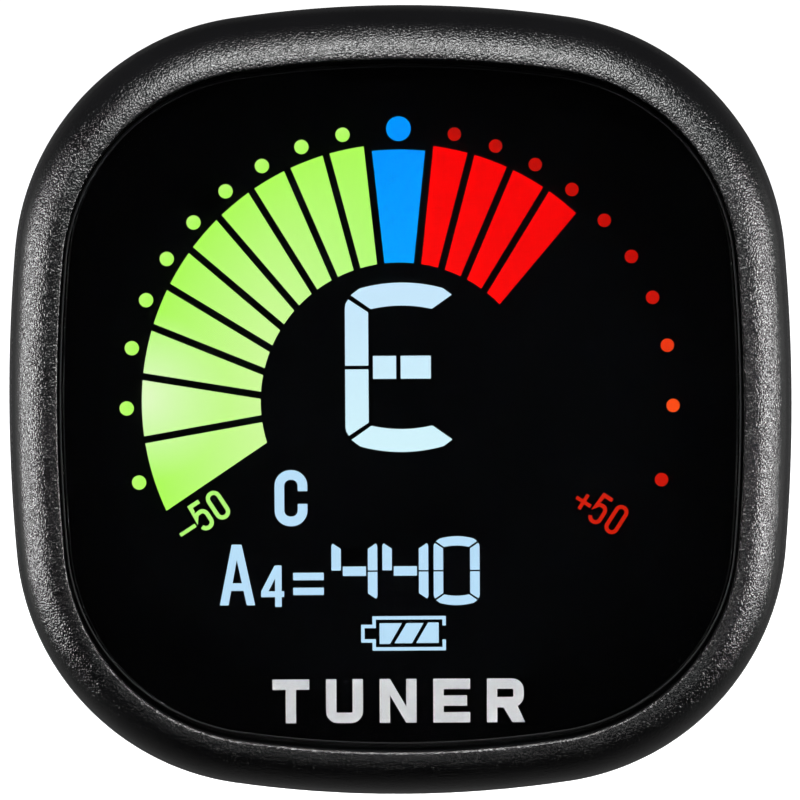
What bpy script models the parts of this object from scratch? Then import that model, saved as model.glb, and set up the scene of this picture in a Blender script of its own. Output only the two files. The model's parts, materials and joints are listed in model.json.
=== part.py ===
"""Clip-on instrument tuner: a rounded-square head on a swivel, two hinges and a sprung clip.

The origin is the middle of the fixed pad's grip face. +Z is up, the head faces -Y, and the
grip face points along +Y, into the instrument's headstock.
"""
import math

import bpy
import bmesh
from mathutils import Vector

MM = 0.001

# Head: outline, made of four side arcs and four corner arcs
HEAD_HALF_WIDTH = 25.0 * MM
HEAD_HALF_HEIGHT = 25.25 * MM
CORNER_RADIUS = 16.3 * MM
CORNER_CENTRE = 8.34 * MM           # from the head's middle, along X and along Z
HEAD_Z = 9.0 * MM                   # the head's middle, above the pad's middle

# Head: depths are counted from the bezel's rim, towards the instrument
RIM_INSET = 3.1 * MM
WIDEST_DEPTH = 5.1 * MM
PARTING_DEPTH = 6.6 * MM
REAR_DEPTH = 12.8 * MM
REAR_INSET = 4.5 * MM
WALL = 1.5 * MM
REAR_WALL = 1.4 * MM
PARTING_GAP = 0.2 * MM
FLANGE_DEPTH = (2.6 * MM, 3.4 * MM)
FLANGE_INSET = 5.2 * MM
LENS_INSET = 3.36 * MM
LENS_DEPTH = (1.0 * MM, 2.2 * MM)
TAPE_DEPTH = (2.3 * MM, 2.5 * MM)
TAPE_INSET = (3.5 * MM, 4.9 * MM)
LCD_RADIUS = 20.3 * MM
LCD_DEPTH = (3.6 * MM, 5.2 * MM)
GUIDE_RADIUS = 18.6 * MM
GUIDE_DEPTH = (5.5 * MM, 6.6 * MM)
FRAME_RADII = (18.9 * MM, 20.2 * MM)
FRAME_DEPTH = (5.3 * MM, 7.2 * MM)
REFLECTOR_DEPTH = (6.75 * MM, 6.95 * MM)
ZEBRA_HALF = (13.0 * MM, 0.8 * MM)
ZEBRA_UP = 16.9 * MM                # above the head's middle
ZEBRA_CUT_UP = 15.8 * MM
LED_HALF = (1.5 * MM, 0.5 * MM)
LED_DOWN = 17.8 * MM
LED_SPACING = 7.5 * MM
BOARD_INSET = 3.1 * MM
BOARD_DEPTH = (7.6 * MM, 8.4 * MM)
PARTS_DEPTH = 8.5 * MM              # where parts on the board start
SCREW_OFFSET = 16.1 * MM            # case screws, from the head's middle along X and Z
BOSS_RADIUS = 1.9 * MM
BOSS_DEPTH = (2.9 * MM, 7.5 * MM)
PILLAR_DEPTH = 8.55 * MM
CASE_SCREW_RADIUS = 0.7 * MM
CASE_SCREW_HEAD = 1.35 * MM
CASE_SCREW_SEAT = 10.6 * MM

# Head: USB socket in the lower wall, battery, sensor
USB_HALF = (4.47 * MM, 1.6 * MM)
USB_DEPTH = 9.5 * MM                # the socket's axis
USB_REACH = (16.2 * MM, 23.3 * MM)  # below the head's middle
USB_WALL = 0.3 * MM
BATTERY_HALF_WIDTH = 11.0 * MM
BATTERY_UP = (7.5 * MM, 19.5 * MM)
BATTERY_DEPTH = (8.6 * MM, 11.1 * MM)
PIEZO_DOWN = 10.6 * MM
PIEZO_RADII = (3.2 * MM, 4.4 * MM)

# Buttons on the rear cover
BUTTON_ACROSS = 14.5 * MM
BUTTON_UP = 5.5 * MM
BUTTON_RADIUS = 2.3 * MM
BUTTON_PROUD = 0.55 * MM
BUTTON_CLEARANCE = 0.15 * MM
SWITCH_HALF = 2.25 * MM
PLUNGER_RADIUS = 0.9 * MM

# Swivel, hinges and clip: Y is the distance from the grip face
CLIP_HINGE_Y = -8.0 * MM
ARM_LENGTH = 8.0 * MM
TILT_Y = CLIP_HINGE_Y - ARM_LENGTH
REAR_TO_TILT = 5.8 * MM
RIM_Y = TILT_Y - REAR_TO_TILT - REAR_DEPTH
KNUCKLE_RADIUS = 3.2 * MM
ARM_HALF_WIDTH = 3.0 * MM
EAR_X = (3.1 * MM, 5.2 * MM)
HINGE_SHAFT = 1.0 * MM
HINGE_BORE = 1.07 * MM
HUB_RADIUS = 3.1 * MM
HUB_BORE = 3.2 * MM
BASE_RADIUS = 8.5 * MM
BASE_DEPTH = (13.4 * MM, 15.2 * MM)
WASHER_DEPTH = (12.9 * MM, 13.3 * MM)

PLATE_HALF_WIDTH = 10.0 * MM
PLATE_CORNER = 3.0 * MM
FIXED_PLATE_Y = (-4.0 * MM, -1.8 * MM)
PLATE_Z = (-13.0 * MM, 28.0 * MM)
PAD_HALF = (8.0 * MM, 10.0 * MM)
PAD_THICKNESS = 1.5 * MM
JAW_GAP = 5.0 * MM                  # between the pads, at rest
PIVOT_Y = 2.5 * MM
PIVOT_Z = 15.5 * MM
PIVOT_RADIUS = 2.4 * MM
FIXED_LUG_X = (6.5 * MM, 8.5 * MM)
MOVING_LUG_X = (4.2 * MM, 6.3 * MM)
MOVING_PLATE_Y = (6.8 * MM, 9.0 * MM)
LEVER_BEND_Z = 17.1 * MM
LEVER_TOP = (11.6 * MM, 28.8 * MM)  # Y and Z of the lever's inner top edge
STOP_Z = (11.2 * MM, 12.8 * MM)
COIL_RADIUS = 1.75 * MM
WIRE_RADIUS = 0.35 * MM
COIL_HALF_LENGTH = 3.5 * MM
COIL_TURNS = 5

ROUND = 24                          # sides of a plain round piece
FINE = 0.1 * MM


def clear_scene():
    for obj in list(bpy.data.objects):
        bpy.data.objects.remove(obj, do_unlink=True)


def depth(value):
    """World Y of a depth counted from the bezel's rim."""
    return RIM_Y + value


# ---------------------------------------------------------------- materials and joints

def finish(name, colour, roughness, metallic=0.0):
    material = bpy.data.materials.new(name)
    material.use_nodes = True
    shader = material.node_tree.nodes["Principled BSDF"]
    shader.inputs["Base Color"].default_value = (*colour, 1.0)
    shader.inputs["Roughness"].default_value = roughness
    shader.inputs["Metallic"].default_value = metallic
    return material


def axis_empty(name, position, parent=None):
    """An empty on a joint's axis. Pieces hang on it with their own origins there."""
    empty = bpy.data.objects.new(name, None)
    bpy.context.collection.objects.link(empty)
    empty["world"] = [c for c in position]
    empty.empty_display_size = 3 * MM
    offset = Vector(position)
    if parent:
        empty.parent = parent
        offset = offset - Vector(parent["world"])
    empty.location = offset
    return empty


def hang(obj, empty):
    """Give a piece the empty as its parent, and the empty's place as its own origin."""
    at = Vector(empty["world"])
    if obj.type == "MESH":
        for vertex in obj.data.vertices:
            vertex.co -= at
    else:
        for point in obj.data.splines[0].points:
            point.co = (*(point.co.xyz - at), 1.0)
    obj.parent = empty
    return obj


# ---------------------------------------------------------------- shapes

def mesh_object(name, mesh_builder, material):
    mesh = bpy.data.meshes.new(name)
    shape = bmesh.new()
    mesh_builder(shape)
    bmesh.ops.recalc_face_normals(shape, faces=shape.faces)
    shape.to_mesh(mesh)
    shape.free()
    mesh.shade_smooth()
    mesh.set_sharp_from_angle(angle=math.radians(35))
    obj = bpy.data.objects.new(name, mesh)
    bpy.context.collection.objects.link(obj)
    if material:
        mesh.materials.append(material)
    return obj


def bridge(shape, first, second):
    """Faces between two closed loops with the same number of points."""
    for k in range(len(first)):
        n = (k + 1) % len(first)
        shape.faces.new((first[k], first[n], second[n], second[k]))


def stack_loops(name, loops, material, closed=False):
    """A solid through a list of loops: capped at both ends, or joined back to the first."""
    def builder(shape):
        rows = [[shape.verts.new(p) for p in loop] for loop in loops]
        for first, second in zip(rows, rows[1:]):
            bridge(shape, first, second)
        if closed:
            bridge(shape, rows[-1], rows[0])
        else:
            shape.faces.new(rows[0])
            shape.faces.new(rows[-1])
    return mesh_object(name, builder, material)


def side_centre(half, corner=CORNER_CENTRE, radius=CORNER_RADIUS):
    """How far behind the head's middle a side arc is centred, to run into the corner arcs."""
    reach = half - radius
    return (2 * corner ** 2 - reach ** 2) / (2 * (reach - corner))


SIDE_CENTRE = side_centre(HEAD_HALF_WIDTH)
TOP_CENTRE = side_centre(HEAD_HALF_HEIGHT)
SIDE_TURN = math.atan2(CORNER_CENTRE, CORNER_CENTRE + SIDE_CENTRE)
TOP_TURN = math.atan2(CORNER_CENTRE, CORNER_CENTRE + TOP_CENTRE)


def quarter_angles(side_steps=2, corner_steps=9):
    """Directions of the outline's normal over one quarter, from the right to just below the top."""
    corner_turn = math.pi / 2 - TOP_TURN - SIDE_TURN
    side = [SIDE_TURN * k / side_steps for k in range(side_steps)]
    corner = [SIDE_TURN + corner_turn * k / corner_steps for k in range(corner_steps)]
    top = [math.pi / 2 - TOP_TURN + TOP_TURN * k / side_steps for k in range(side_steps)]
    return side + corner + top


def quarter_point(angle, inset):
    """A point of the outline's first quarter, drawn in by inset, from the head's middle."""
    if angle < SIDE_TURN:
        x, z, radius = -SIDE_CENTRE, 0.0, HEAD_HALF_WIDTH + SIDE_CENTRE
    elif angle > math.pi / 2 - TOP_TURN:
        x, z, radius = 0.0, -TOP_CENTRE, HEAD_HALF_HEIGHT + TOP_CENTRE
    else:
        x, z, radius = CORNER_CENTRE, CORNER_CENTRE, CORNER_RADIUS
    return x + (radius - inset) * math.cos(angle), z + (radius - inset) * math.sin(angle)


def head_loop(inset, y):
    """The head's outline drawn in by inset, at world y."""
    angles = quarter_angles()
    up = [quarter_point(a, inset) for a in angles]
    down = [quarter_point(a, inset) for a in reversed([*angles[1:], math.pi / 2])]
    right_top = up
    left_top = [(-x, z) for x, z in down]
    left_bottom = [(-x, -z) for x, z in up]
    right_bottom = [(x, -z) for x, z in down]
    whole = right_top + left_top + left_bottom + right_bottom
    return [(x, y, HEAD_Z + z) for x, z in whole]


def head_shape(name, section, material, closed=False):
    """A solid whose section, in (inset, depth), runs round the head's outline."""
    return stack_loops(name, [head_loop(i, depth(d)) for i, d in section], material, closed)


def turned(name, section, axis, centre, material, sides=ROUND, closed=False):
    """A section in (radius, distance along the axis) turned about X or Y."""
    cx, cy, cz = centre

    def place(radius, along, angle):
        u, v = radius * math.cos(angle), radius * math.sin(angle)
        return (cx + along, cy + u, cz + v) if axis == "X" else (cx + u, cy + along, cz + v)

    turns = [2 * math.pi * k / sides for k in range(sides)]
    loops = [[place(r, s, a) for a in turns] for r, s in section]
    return stack_loops(name, loops, material, closed)


def rod(name, axis, centre, radius, span, material=None, sides=ROUND):
    return turned(name, [(radius, span[0]), (radius, span[1])], axis, centre, material, sides)


def washer(name, axis, centre, radii, span, material, sides=ROUND):
    section = [(radii[1], span[0]), (radii[1], span[1]), (radii[0], span[1]), (radii[0], span[0])]
    return turned(name, section, axis, centre, material, sides, closed=True)


def block(name, x, y, z, material=None):
    loops = [[(x[0], v, z[0]), (x[1], v, z[0]), (x[1], v, z[1]), (x[0], v, z[1])] for v in y]
    return stack_loops(name, loops, material)


def rounded_block(name, x, y, z, radius, material=None, steps=5):
    """A block along Y whose four long edges are rounded."""
    outline = []
    corners = [(x[1], z[1], 1, 1), (x[0], z[1], -1, 1), (x[0], z[0], -1, -1), (x[1], z[0], 1, -1)]
    for turn, (cx, cz, sx, sz) in enumerate(corners):
        for k in range(steps + 1):
            a = math.pi / 2 * (turn + k / steps)
            outline.append((cx - sx * radius + radius * math.cos(a),
                            cz - sz * radius + radius * math.sin(a)))
    return stack_loops(name, [[(u, v, w) for u, w in outline] for v in y], material)


def profile_block(name, profile, x, material=None):
    """A profile in (y, z), run along X."""
    return stack_loops(name, [[(u, y, z) for y, z in profile] for u in x], material)


def lug(name, axis_y, axis_z, base_y, base_half, radius, x, material=None, steps=10):
    """An ear that stands on a plate at base_y and is rounded about a hinge axis."""
    side = 1 if axis_y > base_y else -1
    arc = [math.pi / 2 - math.pi * k / steps for k in range(steps + 1)]
    profile = [(base_y, axis_z + base_half)]
    profile += [(axis_y + side * radius * math.cos(a), axis_z + radius * math.sin(a)) for a in arc]
    profile += [(base_y, axis_z - base_half)]
    return profile_block(name, profile, x, material)


def tube(name, points, radius, material, resolution=1):
    curve = bpy.data.curves.new(name, "CURVE")
    curve.dimensions = "3D"
    curve.bevel_depth = radius
    curve.bevel_resolution = resolution
    curve.use_fill_caps = True
    spline = curve.splines.new("POLY")
    spline.points.add(len(points) - 1)
    for point, place in zip(spline.points, points):
        point.co = (*place, 1.0)
    curve.materials.append(material)
    obj = bpy.data.objects.new(name, curve)
    bpy.context.collection.objects.link(obj)
    return obj


def combine(obj, operation, others):
    """Add or cut helper shapes, which stay in the scene as wire guides."""
    for other in others:
        other.hide_render = True
        other.display_type = "WIRE"
        modifier = obj.modifiers.new(other.name, "BOOLEAN")
        modifier.operation = operation
        modifier.object = other
    return obj


def mirrored_spans(span):
    return [("left", (-span[1], -span[0])), ("right", span)]


def corner_places():
    """The four case screws' places from the head's middle, clockwise from the top right."""
    return [(sx * SCREW_OFFSET, sz * SCREW_OFFSET) for sx, sz in ((1, 1), (1, -1), (-1, -1), (-1, 1))]


# ---------------------------------------------------------------- head: front

def front_bezel(empty):
    """The moulded front: a convex ring with an inner ledge for the lens and four screw bosses."""
    black = finish("black_texture_plastic", (0.018, 0.018, 0.019), 0.42)
    crown = 7
    section = []
    for k in range(crown + 1):
        a = math.pi / 2 * k / crown
        section.append((RIM_INSET * (1 - math.sin(a)) * 0.94, WIDEST_DEPTH * (1 - math.cos(a))))
    section += [
        (0.12 * MM, PARTING_DEPTH),
        (0.12 * MM + WALL, PARTING_DEPTH),
        (0.12 * MM + WALL, FLANGE_DEPTH[1]),
        (FLANGE_INSET, FLANGE_DEPTH[1]),
        (FLANGE_INSET, FLANGE_DEPTH[0]),
        (RIM_INSET, FLANGE_DEPTH[0]),
        (RIM_INSET, FINE),
    ]
    bezel = head_shape("front_bezel", section, black, closed=True)
    bosses, holes = [], []
    for number, (x, z) in enumerate(corner_places(), 1):
        at = (x, 0, HEAD_Z + z)
        span = (depth(BOSS_DEPTH[0]), depth(BOSS_DEPTH[1]))
        hole = (depth(BOSS_DEPTH[0] + 1.2 * MM), depth(BOSS_DEPTH[1] + 1 * MM))
        bosses.append(rod(f"boss_{number}", "Y", at, BOSS_RADIUS, span, sides=14))
        holes.append(rod(f"boss_hole_{number}", "Y", at, CASE_SCREW_RADIUS + FINE, hole, sides=12))
    combine(bezel, "UNION", bosses)
    combine(bezel, "DIFFERENCE", holes)
    hang(bezel, empty)


def lens_and_tape(empty):
    gloss = finish("lens_gloss_black", (0.004, 0.004, 0.005), 0.05)
    tape_black = finish("tape_black", (0.02, 0.02, 0.02), 0.8)
    lens = head_shape("lens", [(LENS_INSET, d) for d in LENS_DEPTH], gloss)
    inner, outer = TAPE_INSET[1], TAPE_INSET[0]
    section = [(outer, TAPE_DEPTH[0]), (outer, TAPE_DEPTH[1]), (inner, TAPE_DEPTH[1]), (inner, TAPE_DEPTH[0])]
    tape = head_shape("lens_tape", section, tape_black, closed=True)
    hang(lens, empty)
    hang(tape, empty)


def display(empty):
    """The round LCD, its frame, light guide, reflector, contact strip and three LEDs."""
    glass = finish("lcd_glass", (0.02, 0.022, 0.025), 0.12)
    white = finish("frame_white", (0.75, 0.76, 0.76), 0.5)
    acrylic = finish("light_guide_acrylic", (0.85, 0.87, 0.88), 0.15)
    foil = finish("reflector_foil", (0.9, 0.9, 0.92), 0.3, 0.4)
    rubber = finish("zebra_rubber", (0.32, 0.33, 0.34), 0.7)
    phosphor = finish("led_phosphor", (0.9, 0.82, 0.35), 0.4)
    middle = (0, RIM_Y, HEAD_Z)
    cut_z = HEAD_Z + ZEBRA_CUT_UP
    wide = 2 * LCD_RADIUS

    def top_cut(name):
        return block(name, (-wide / 2, wide / 2), (depth(0), depth(REAR_DEPTH)), (cut_z, cut_z + wide))

    lcd = rod("lcd_cell", "Y", middle, LCD_RADIUS, LCD_DEPTH, glass, 40)
    frame = washer("lcd_frame", "Y", middle, FRAME_RADII, FRAME_DEPTH, white, 40)
    guide = rod("light_guide", "Y", middle, GUIDE_RADIUS, GUIDE_DEPTH, acrylic, 40)
    sheet = rod("reflector_sheet", "Y", middle, GUIDE_RADIUS, REFLECTOR_DEPTH, foil, 40)
    for piece in (frame, guide, sheet):
        combine(piece, "DIFFERENCE", [top_cut(f"{piece.name}_top_cut")])
    zebra_z = HEAD_Z + ZEBRA_UP
    zebra = block("zebra_strip", (-ZEBRA_HALF[0], ZEBRA_HALF[0]),
                  (depth(LCD_DEPTH[1] + FINE), depth(BOARD_DEPTH[0] - FINE)),
                  (zebra_z - ZEBRA_HALF[1], zebra_z + ZEBRA_HALF[1]), rubber)
    notches = []
    leds = []
    for number in (1, 2, 3):
        x = LED_SPACING * (number - 2)
        fall = LED_DOWN - 0.85 * MM * abs(number - 2) * 2
        z = HEAD_Z - fall
        y = (depth(GUIDE_DEPTH[0] + FINE), depth(GUIDE_DEPTH[1] - FINE))
        gap = 2 * FINE
        leds.append(block(f"backlight_led_{number}", (x - LED_HALF[0], x + LED_HALF[0]), y,
                          (z - LED_HALF[1], z + LED_HALF[1]), phosphor))
        notches.append(block(f"led_notch_{number}", (x - LED_HALF[0] - gap, x + LED_HALF[0] + gap),
                             (depth(5 * MM), depth(8 * MM)),
                             (z - 4 * MM, z + LED_HALF[1] + gap)))
    combine(guide, "DIFFERENCE", notches)
    for piece in (lcd, frame, guide, sheet, zebra, *leds):
        hang(piece, empty)


# ---------------------------------------------------------------- head: electronics

def board(empty):
    green = finish("board_green", (0.02, 0.16, 0.07), 0.45)
    epoxy = finish("chip_epoxy", (0.03, 0.03, 0.032), 0.55)
    pcb = head_shape("main_pcb", [(BOARD_INSET, d) for d in BOARD_DEPTH], green)
    cutters = []
    for number, (x, z) in enumerate(corner_places(), 1):
        cutters.append(rod(f"board_hole_{number}", "Y", (x, 0, HEAD_Z + z), CASE_SCREW_RADIUS + FINE,
                           (depth(7 * MM), depth(9 * MM)), sides=12))
    slot = 0.25 * MM
    cutters.append(block("board_usb_notch", (-USB_HALF[0] - slot, USB_HALF[0] + slot),
                         (depth(7 * MM), depth(9 * MM)),
                         (HEAD_Z - 2 * HEAD_HALF_HEIGHT, HEAD_Z - USB_REACH[0] + slot)))
    combine(pcb, "DIFFERENCE", cutters)
    chip = block("mcu_chip", (-3 * MM, 3 * MM), (depth(PARTS_DEPTH), depth(9.4 * MM)),
                 (HEAD_Z - 13.5 * MM, HEAD_Z - 7.5 * MM), epoxy)
    hang(pcb, empty)
    hang(chip, empty)


def usb_outline(grow):
    """The socket's stadium outline in (x, depth), grown or shrunk by grow."""
    radius = USB_HALF[1] + grow
    flat = USB_HALF[0] - USB_HALF[1]
    turns = [math.pi / 2 - math.pi * k / 6 for k in range(7)]
    right = [(flat + radius * math.cos(a), USB_DEPTH + radius * math.sin(a)) for a in turns]
    return right + [(-x, 2 * USB_DEPTH - d) for x, d in right]


def usb_loop(grow, z):
    return [(x, depth(d), z) for x, d in usb_outline(grow)]


def usb_socket(empty):
    steel = finish("socket_steel", (0.62, 0.62, 0.63), 0.28, 1.0)
    plastic = finish("tongue_plastic", (0.025, 0.025, 0.027), 0.5)
    back, mouth = HEAD_Z - USB_REACH[0], HEAD_Z - USB_REACH[1]
    loops = [usb_loop(0, back), usb_loop(0, mouth), usb_loop(-USB_WALL, mouth),
             usb_loop(-USB_WALL, back - USB_WALL)]
    shell = stack_loops("usb_socket", loops, steel)
    tongue_y = (depth(USB_DEPTH - 0.35 * MM), depth(USB_DEPTH + 0.35 * MM))
    tongue = block("usb_tongue", (-3.3 * MM, 3.3 * MM), tongue_y,
                   (mouth + 0.9 * MM, back - USB_WALL - FINE), plastic)
    hang(shell, empty)
    hang(tongue, empty)


def power_and_sensor(empty):
    """The battery with its leads, and the piezo disc that feels the string through the clip."""
    wrap = finish("battery_wrap", (0.55, 0.57, 0.60), 0.35, 0.6)
    housing = finish("connector_white", (0.8, 0.79, 0.74), 0.5)
    brass = finish("piezo_brass", (0.75, 0.55, 0.2), 0.3, 1.0)
    ceramic = finish("piezo_ceramic_white", (0.82, 0.8, 0.76), 0.5)
    red = finish("lead_red", (0.6, 0.02, 0.02), 0.45)
    black = finish("lead_black", (0.02, 0.02, 0.02), 0.45)
    cell = rounded_block("battery", (-BATTERY_HALF_WIDTH, BATTERY_HALF_WIDTH),
                         [depth(d) for d in BATTERY_DEPTH],
                         [HEAD_Z + up for up in BATTERY_UP], 1 * MM, wrap, 3)
    plug = block("battery_connector", (5 * MM, 9 * MM), (depth(PARTS_DEPTH), depth(9.8 * MM)),
                 (HEAD_Z + 2.6 * MM, HEAD_Z + 4.8 * MM), housing)
    leads = []
    for name, x, material in (("red", 6.1 * MM, red), ("black", 7.9 * MM, black)):
        route = [(x, depth(9.15 * MM), HEAD_Z + 4.9 * MM), (x, depth(9.25 * MM), HEAD_Z + 5.6 * MM),
                 (x, depth(9.6 * MM), HEAD_Z + 6.4 * MM), (x, depth(9.7 * MM), HEAD_Z + 7.4 * MM)]
        leads.append(tube(f"battery_lead_{name}", route, 0.35 * MM, material))
    sensor = (0, RIM_Y, HEAD_Z - PIEZO_DOWN)
    plate = rod("piezo_plate", "Y", sensor, PIEZO_RADII[1], (11.1 * MM, 11.3 * MM), brass)
    disc = rod("piezo_ceramic", "Y", sensor, PIEZO_RADII[0], (10.8 * MM, 11.0 * MM), ceramic)
    for piece in (cell, plug, *leads, plate, disc):
        hang(piece, empty)


# ---------------------------------------------------------------- head: rear cover and buttons

def button_places():
    """Each button's name and place from the head's middle."""
    return [("power", -BUTTON_ACROSS, BUTTON_UP), ("mode", -BUTTON_ACROSS, -BUTTON_UP),
            ("up", BUTTON_ACROSS, BUTTON_UP), ("down", BUTTON_ACROSS, -BUTTON_UP)]


def rear_cover(empty):
    """The rear shell: a shallow cup with screw pillars, a swivel bore, button holes and a USB slot."""
    black = finish("black_rear_plastic", (0.02, 0.02, 0.021), 0.5)
    start = PARTING_DEPTH + PARTING_GAP
    curve = 6
    outer, inner = [], []
    for k in range(curve + 1):
        a = math.pi / 2 * k / curve
        outer.append((0.12 * MM + (REAR_INSET - 0.12 * MM) * (1 - math.cos(a)),
                      start + (REAR_DEPTH - start) * math.sin(a)))
    floor = REAR_DEPTH - REAR_WALL
    for k in range(curve + 1):
        a = math.pi / 2 * k / curve
        inner.append((0.12 * MM + WALL + (REAR_INSET - 0.12 * MM) * (1 - math.cos(a)),
                      start + (floor - start) * math.sin(a)))
    cover = head_shape("rear_cover", [*reversed(outer), *inner], black)
    pillars, cutters = [], []
    for number, (x, z) in enumerate(corner_places(), 1):
        at = (x, 0, HEAD_Z + z)
        pillars.append(rod(f"pillar_{number}", "Y", at, BOSS_RADIUS + FINE,
                           (depth(PILLAR_DEPTH), depth(floor + 0.5 * MM)), sides=14))
        cutters.append(rod(f"cover_hole_{number}", "Y", at, CASE_SCREW_RADIUS + FINE,
                           (depth(PILLAR_DEPTH - 1 * MM), depth(REAR_DEPTH + 1 * MM)), sides=12))
        cutters.append(rod(f"counterbore_{number}", "Y", at, CASE_SCREW_HEAD + 0.2 * MM,
                           (depth(CASE_SCREW_SEAT), depth(REAR_DEPTH + 1 * MM)), sides=16))
    through = (depth(floor - 1 * MM), depth(REAR_DEPTH + 1 * MM))
    for name, x, z in button_places():
        cutters.append(rod(f"{name}_hole", "Y", (x, 0, HEAD_Z + z), BUTTON_RADIUS + BUTTON_CLEARANCE,
                           through))
    cutters.append(rod("swivel_bore", "Y", (0, 0, HEAD_Z), HUB_BORE, through, sides=32))
    slot = [usb_loop(0.25 * MM, HEAD_Z - USB_REACH[0] - 3 * MM),
            usb_loop(0.25 * MM, HEAD_Z - HEAD_HALF_HEIGHT - 2 * MM)]
    cutters.append(stack_loops("usb_slot", slot, None))
    combine(cover, "UNION", pillars)
    combine(cover, "DIFFERENCE", cutters)
    hang(cover, empty)


def case_screws(empty):
    steel = finish("screw_steel", (0.35, 0.35, 0.36), 0.35, 1.0)
    seat = CASE_SCREW_SEAT + FINE
    section = [(CASE_SCREW_RADIUS, 4.6 * MM), (CASE_SCREW_RADIUS, seat), (CASE_SCREW_HEAD, seat),
               (CASE_SCREW_HEAD, seat + 0.9 * MM)]
    for number, (x, z) in enumerate(corner_places(), 1):
        hang(turned(f"case_screw_{number}", section, "Y", (x, RIM_Y, HEAD_Z + z), steel, 12), empty)


def buttons(empty):
    """Four round buttons on the rear, each over a plunger in a switch on the board."""
    rubber = finish("button_rubber", (0.035, 0.035, 0.038), 0.6)
    plunger_grey = finish("plunger_grey", (0.35, 0.35, 0.36), 0.45)
    switch_black = finish("switch_black", (0.025, 0.025, 0.027), 0.5)
    under = REAR_DEPTH - REAR_WALL - FINE
    top = REAR_DEPTH + BUTTON_PROUD
    section = [(1.2 * MM, 10.35 * MM), (1.2 * MM, 10.75 * MM), (3.0 * MM, 10.75 * MM), (3.0 * MM, under),
               (BUTTON_RADIUS, under), (BUTTON_RADIUS, top - 0.25 * MM), (BUTTON_RADIUS - 0.25 * MM, top)]
    for name, x, z in button_places():
        at = (x, RIM_Y, HEAD_Z + z)
        travel = axis_empty(f"{name}_press_axis", (x, depth(top), HEAD_Z + z), empty)
        hang(turned(f"{name}_button", section, "Y", at, rubber), travel)
        plunger = rod(f"{name}_plunger", "Y", at, PLUNGER_RADIUS, (9.35 * MM, 10.25 * MM), plunger_grey, 16)
        hang(plunger, travel)
        body = block(f"{name}_switch", (x - SWITCH_HALF, x + SWITCH_HALF),
                     (depth(PARTS_DEPTH), depth(9.9 * MM)),
                     (HEAD_Z + z - SWITCH_HALF, HEAD_Z + z + SWITCH_HALF), switch_black)
        well = rod(f"{name}_well", "Y", at, PLUNGER_RADIUS + FINE, (8.9 * MM, 10.9 * MM), sides=16)
        combine(body, "DIFFERENCE", [well])
        hang(body, empty)


# ---------------------------------------------------------------- swivel and arm

def swivel(head, base):
    """The base that turns on the rear cover, and what holds it there."""
    black = finish("black_joint_plastic", (0.02, 0.02, 0.021), 0.45)
    nylon = finish("washer_nylon", (0.7, 0.7, 0.66), 0.5)
    spring = finish("spring_steel", (0.55, 0.55, 0.56), 0.3, 1.0)
    steel = finish("swivel_screw_steel", (0.4, 0.4, 0.41), 0.35, 1.0)
    middle = (0, RIM_Y, HEAD_Z)
    hang(washer("friction_washer", "Y", middle, (3.6 * MM, 8.0 * MM), WASHER_DEPTH, nylon, 32), head)
    hang(washer("wave_spring", "Y", middle, (3.4 * MM, 4.6 * MM), (10.45 * MM, 11.25 * MM), spring), head)
    hang(washer("retaining_washer", "Y", middle, (1.15 * MM, 4.8 * MM), (9.8 * MM, 10.3 * MM), steel), base)
    screw = [(1.9 * MM, 8.9 * MM), (1.9 * MM, 9.7 * MM), (0.9 * MM, 9.7 * MM), (0.9 * MM, 14.2 * MM)]
    hang(turned("swivel_screw", screw, "Y", middle, steel, 16), base)

    hub = [(HUB_RADIUS, 10.4 * MM), (HUB_RADIUS, BASE_DEPTH[0]), (BASE_RADIUS, BASE_DEPTH[0]),
           (BASE_RADIUS, BASE_DEPTH[1] - 0.4 * MM), (BASE_RADIUS - 0.4 * MM, BASE_DEPTH[1])]
    body = turned("swivel_base", hub, "Y", middle, black, 32)
    foot = depth(BASE_DEPTH[1] - 0.6 * MM)
    ears = [lug(f"base_ear_{side}", TILT_Y, HEAD_Z, foot, KNUCKLE_RADIUS + 0.6 * MM, KNUCKLE_RADIUS, x)
            for side, x in mirrored_spans(EAR_X)]
    bores = [rod("hub_bore", "Y", middle, 1.0 * MM, (9 * MM, 14.4 * MM), sides=16),
             rod("base_ear_bore", "X", (0, TILT_Y, HEAD_Z), HINGE_BORE, (-7 * MM, 7 * MM))]
    combine(body, "UNION", ears)
    combine(body, "DIFFERENCE", bores)
    hang(body, base)


def hinge_hardware(name, y, empty):
    """A screw through a hinge, with its head on the left and a hexagon nut on the right."""
    steel = finish(f"{name}_steel", (0.45, 0.45, 0.46), 0.3, 1.0)
    outside = EAR_X[1] + FINE
    shank = [(2.0 * MM, -outside - 1.1 * MM), (2.0 * MM, -outside), (HINGE_SHAFT, -outside),
             (HINGE_SHAFT, 6.9 * MM)]
    screw = turned(f"{name}_screw", shank, "X", (0, y, HEAD_Z), steel, 16)
    nut = rod(f"{name}_nut", "X", (0, y, HEAD_Z), 2.1 * MM, (outside, outside + 1.4 * MM), steel, 6)
    combine(nut, "DIFFERENCE", [rod(f"{name}_nut_bore", "X", (0, y, HEAD_Z), HINGE_BORE, (4 * MM, 8 * MM))])
    hang(screw, empty)
    hang(nut, empty)


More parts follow.
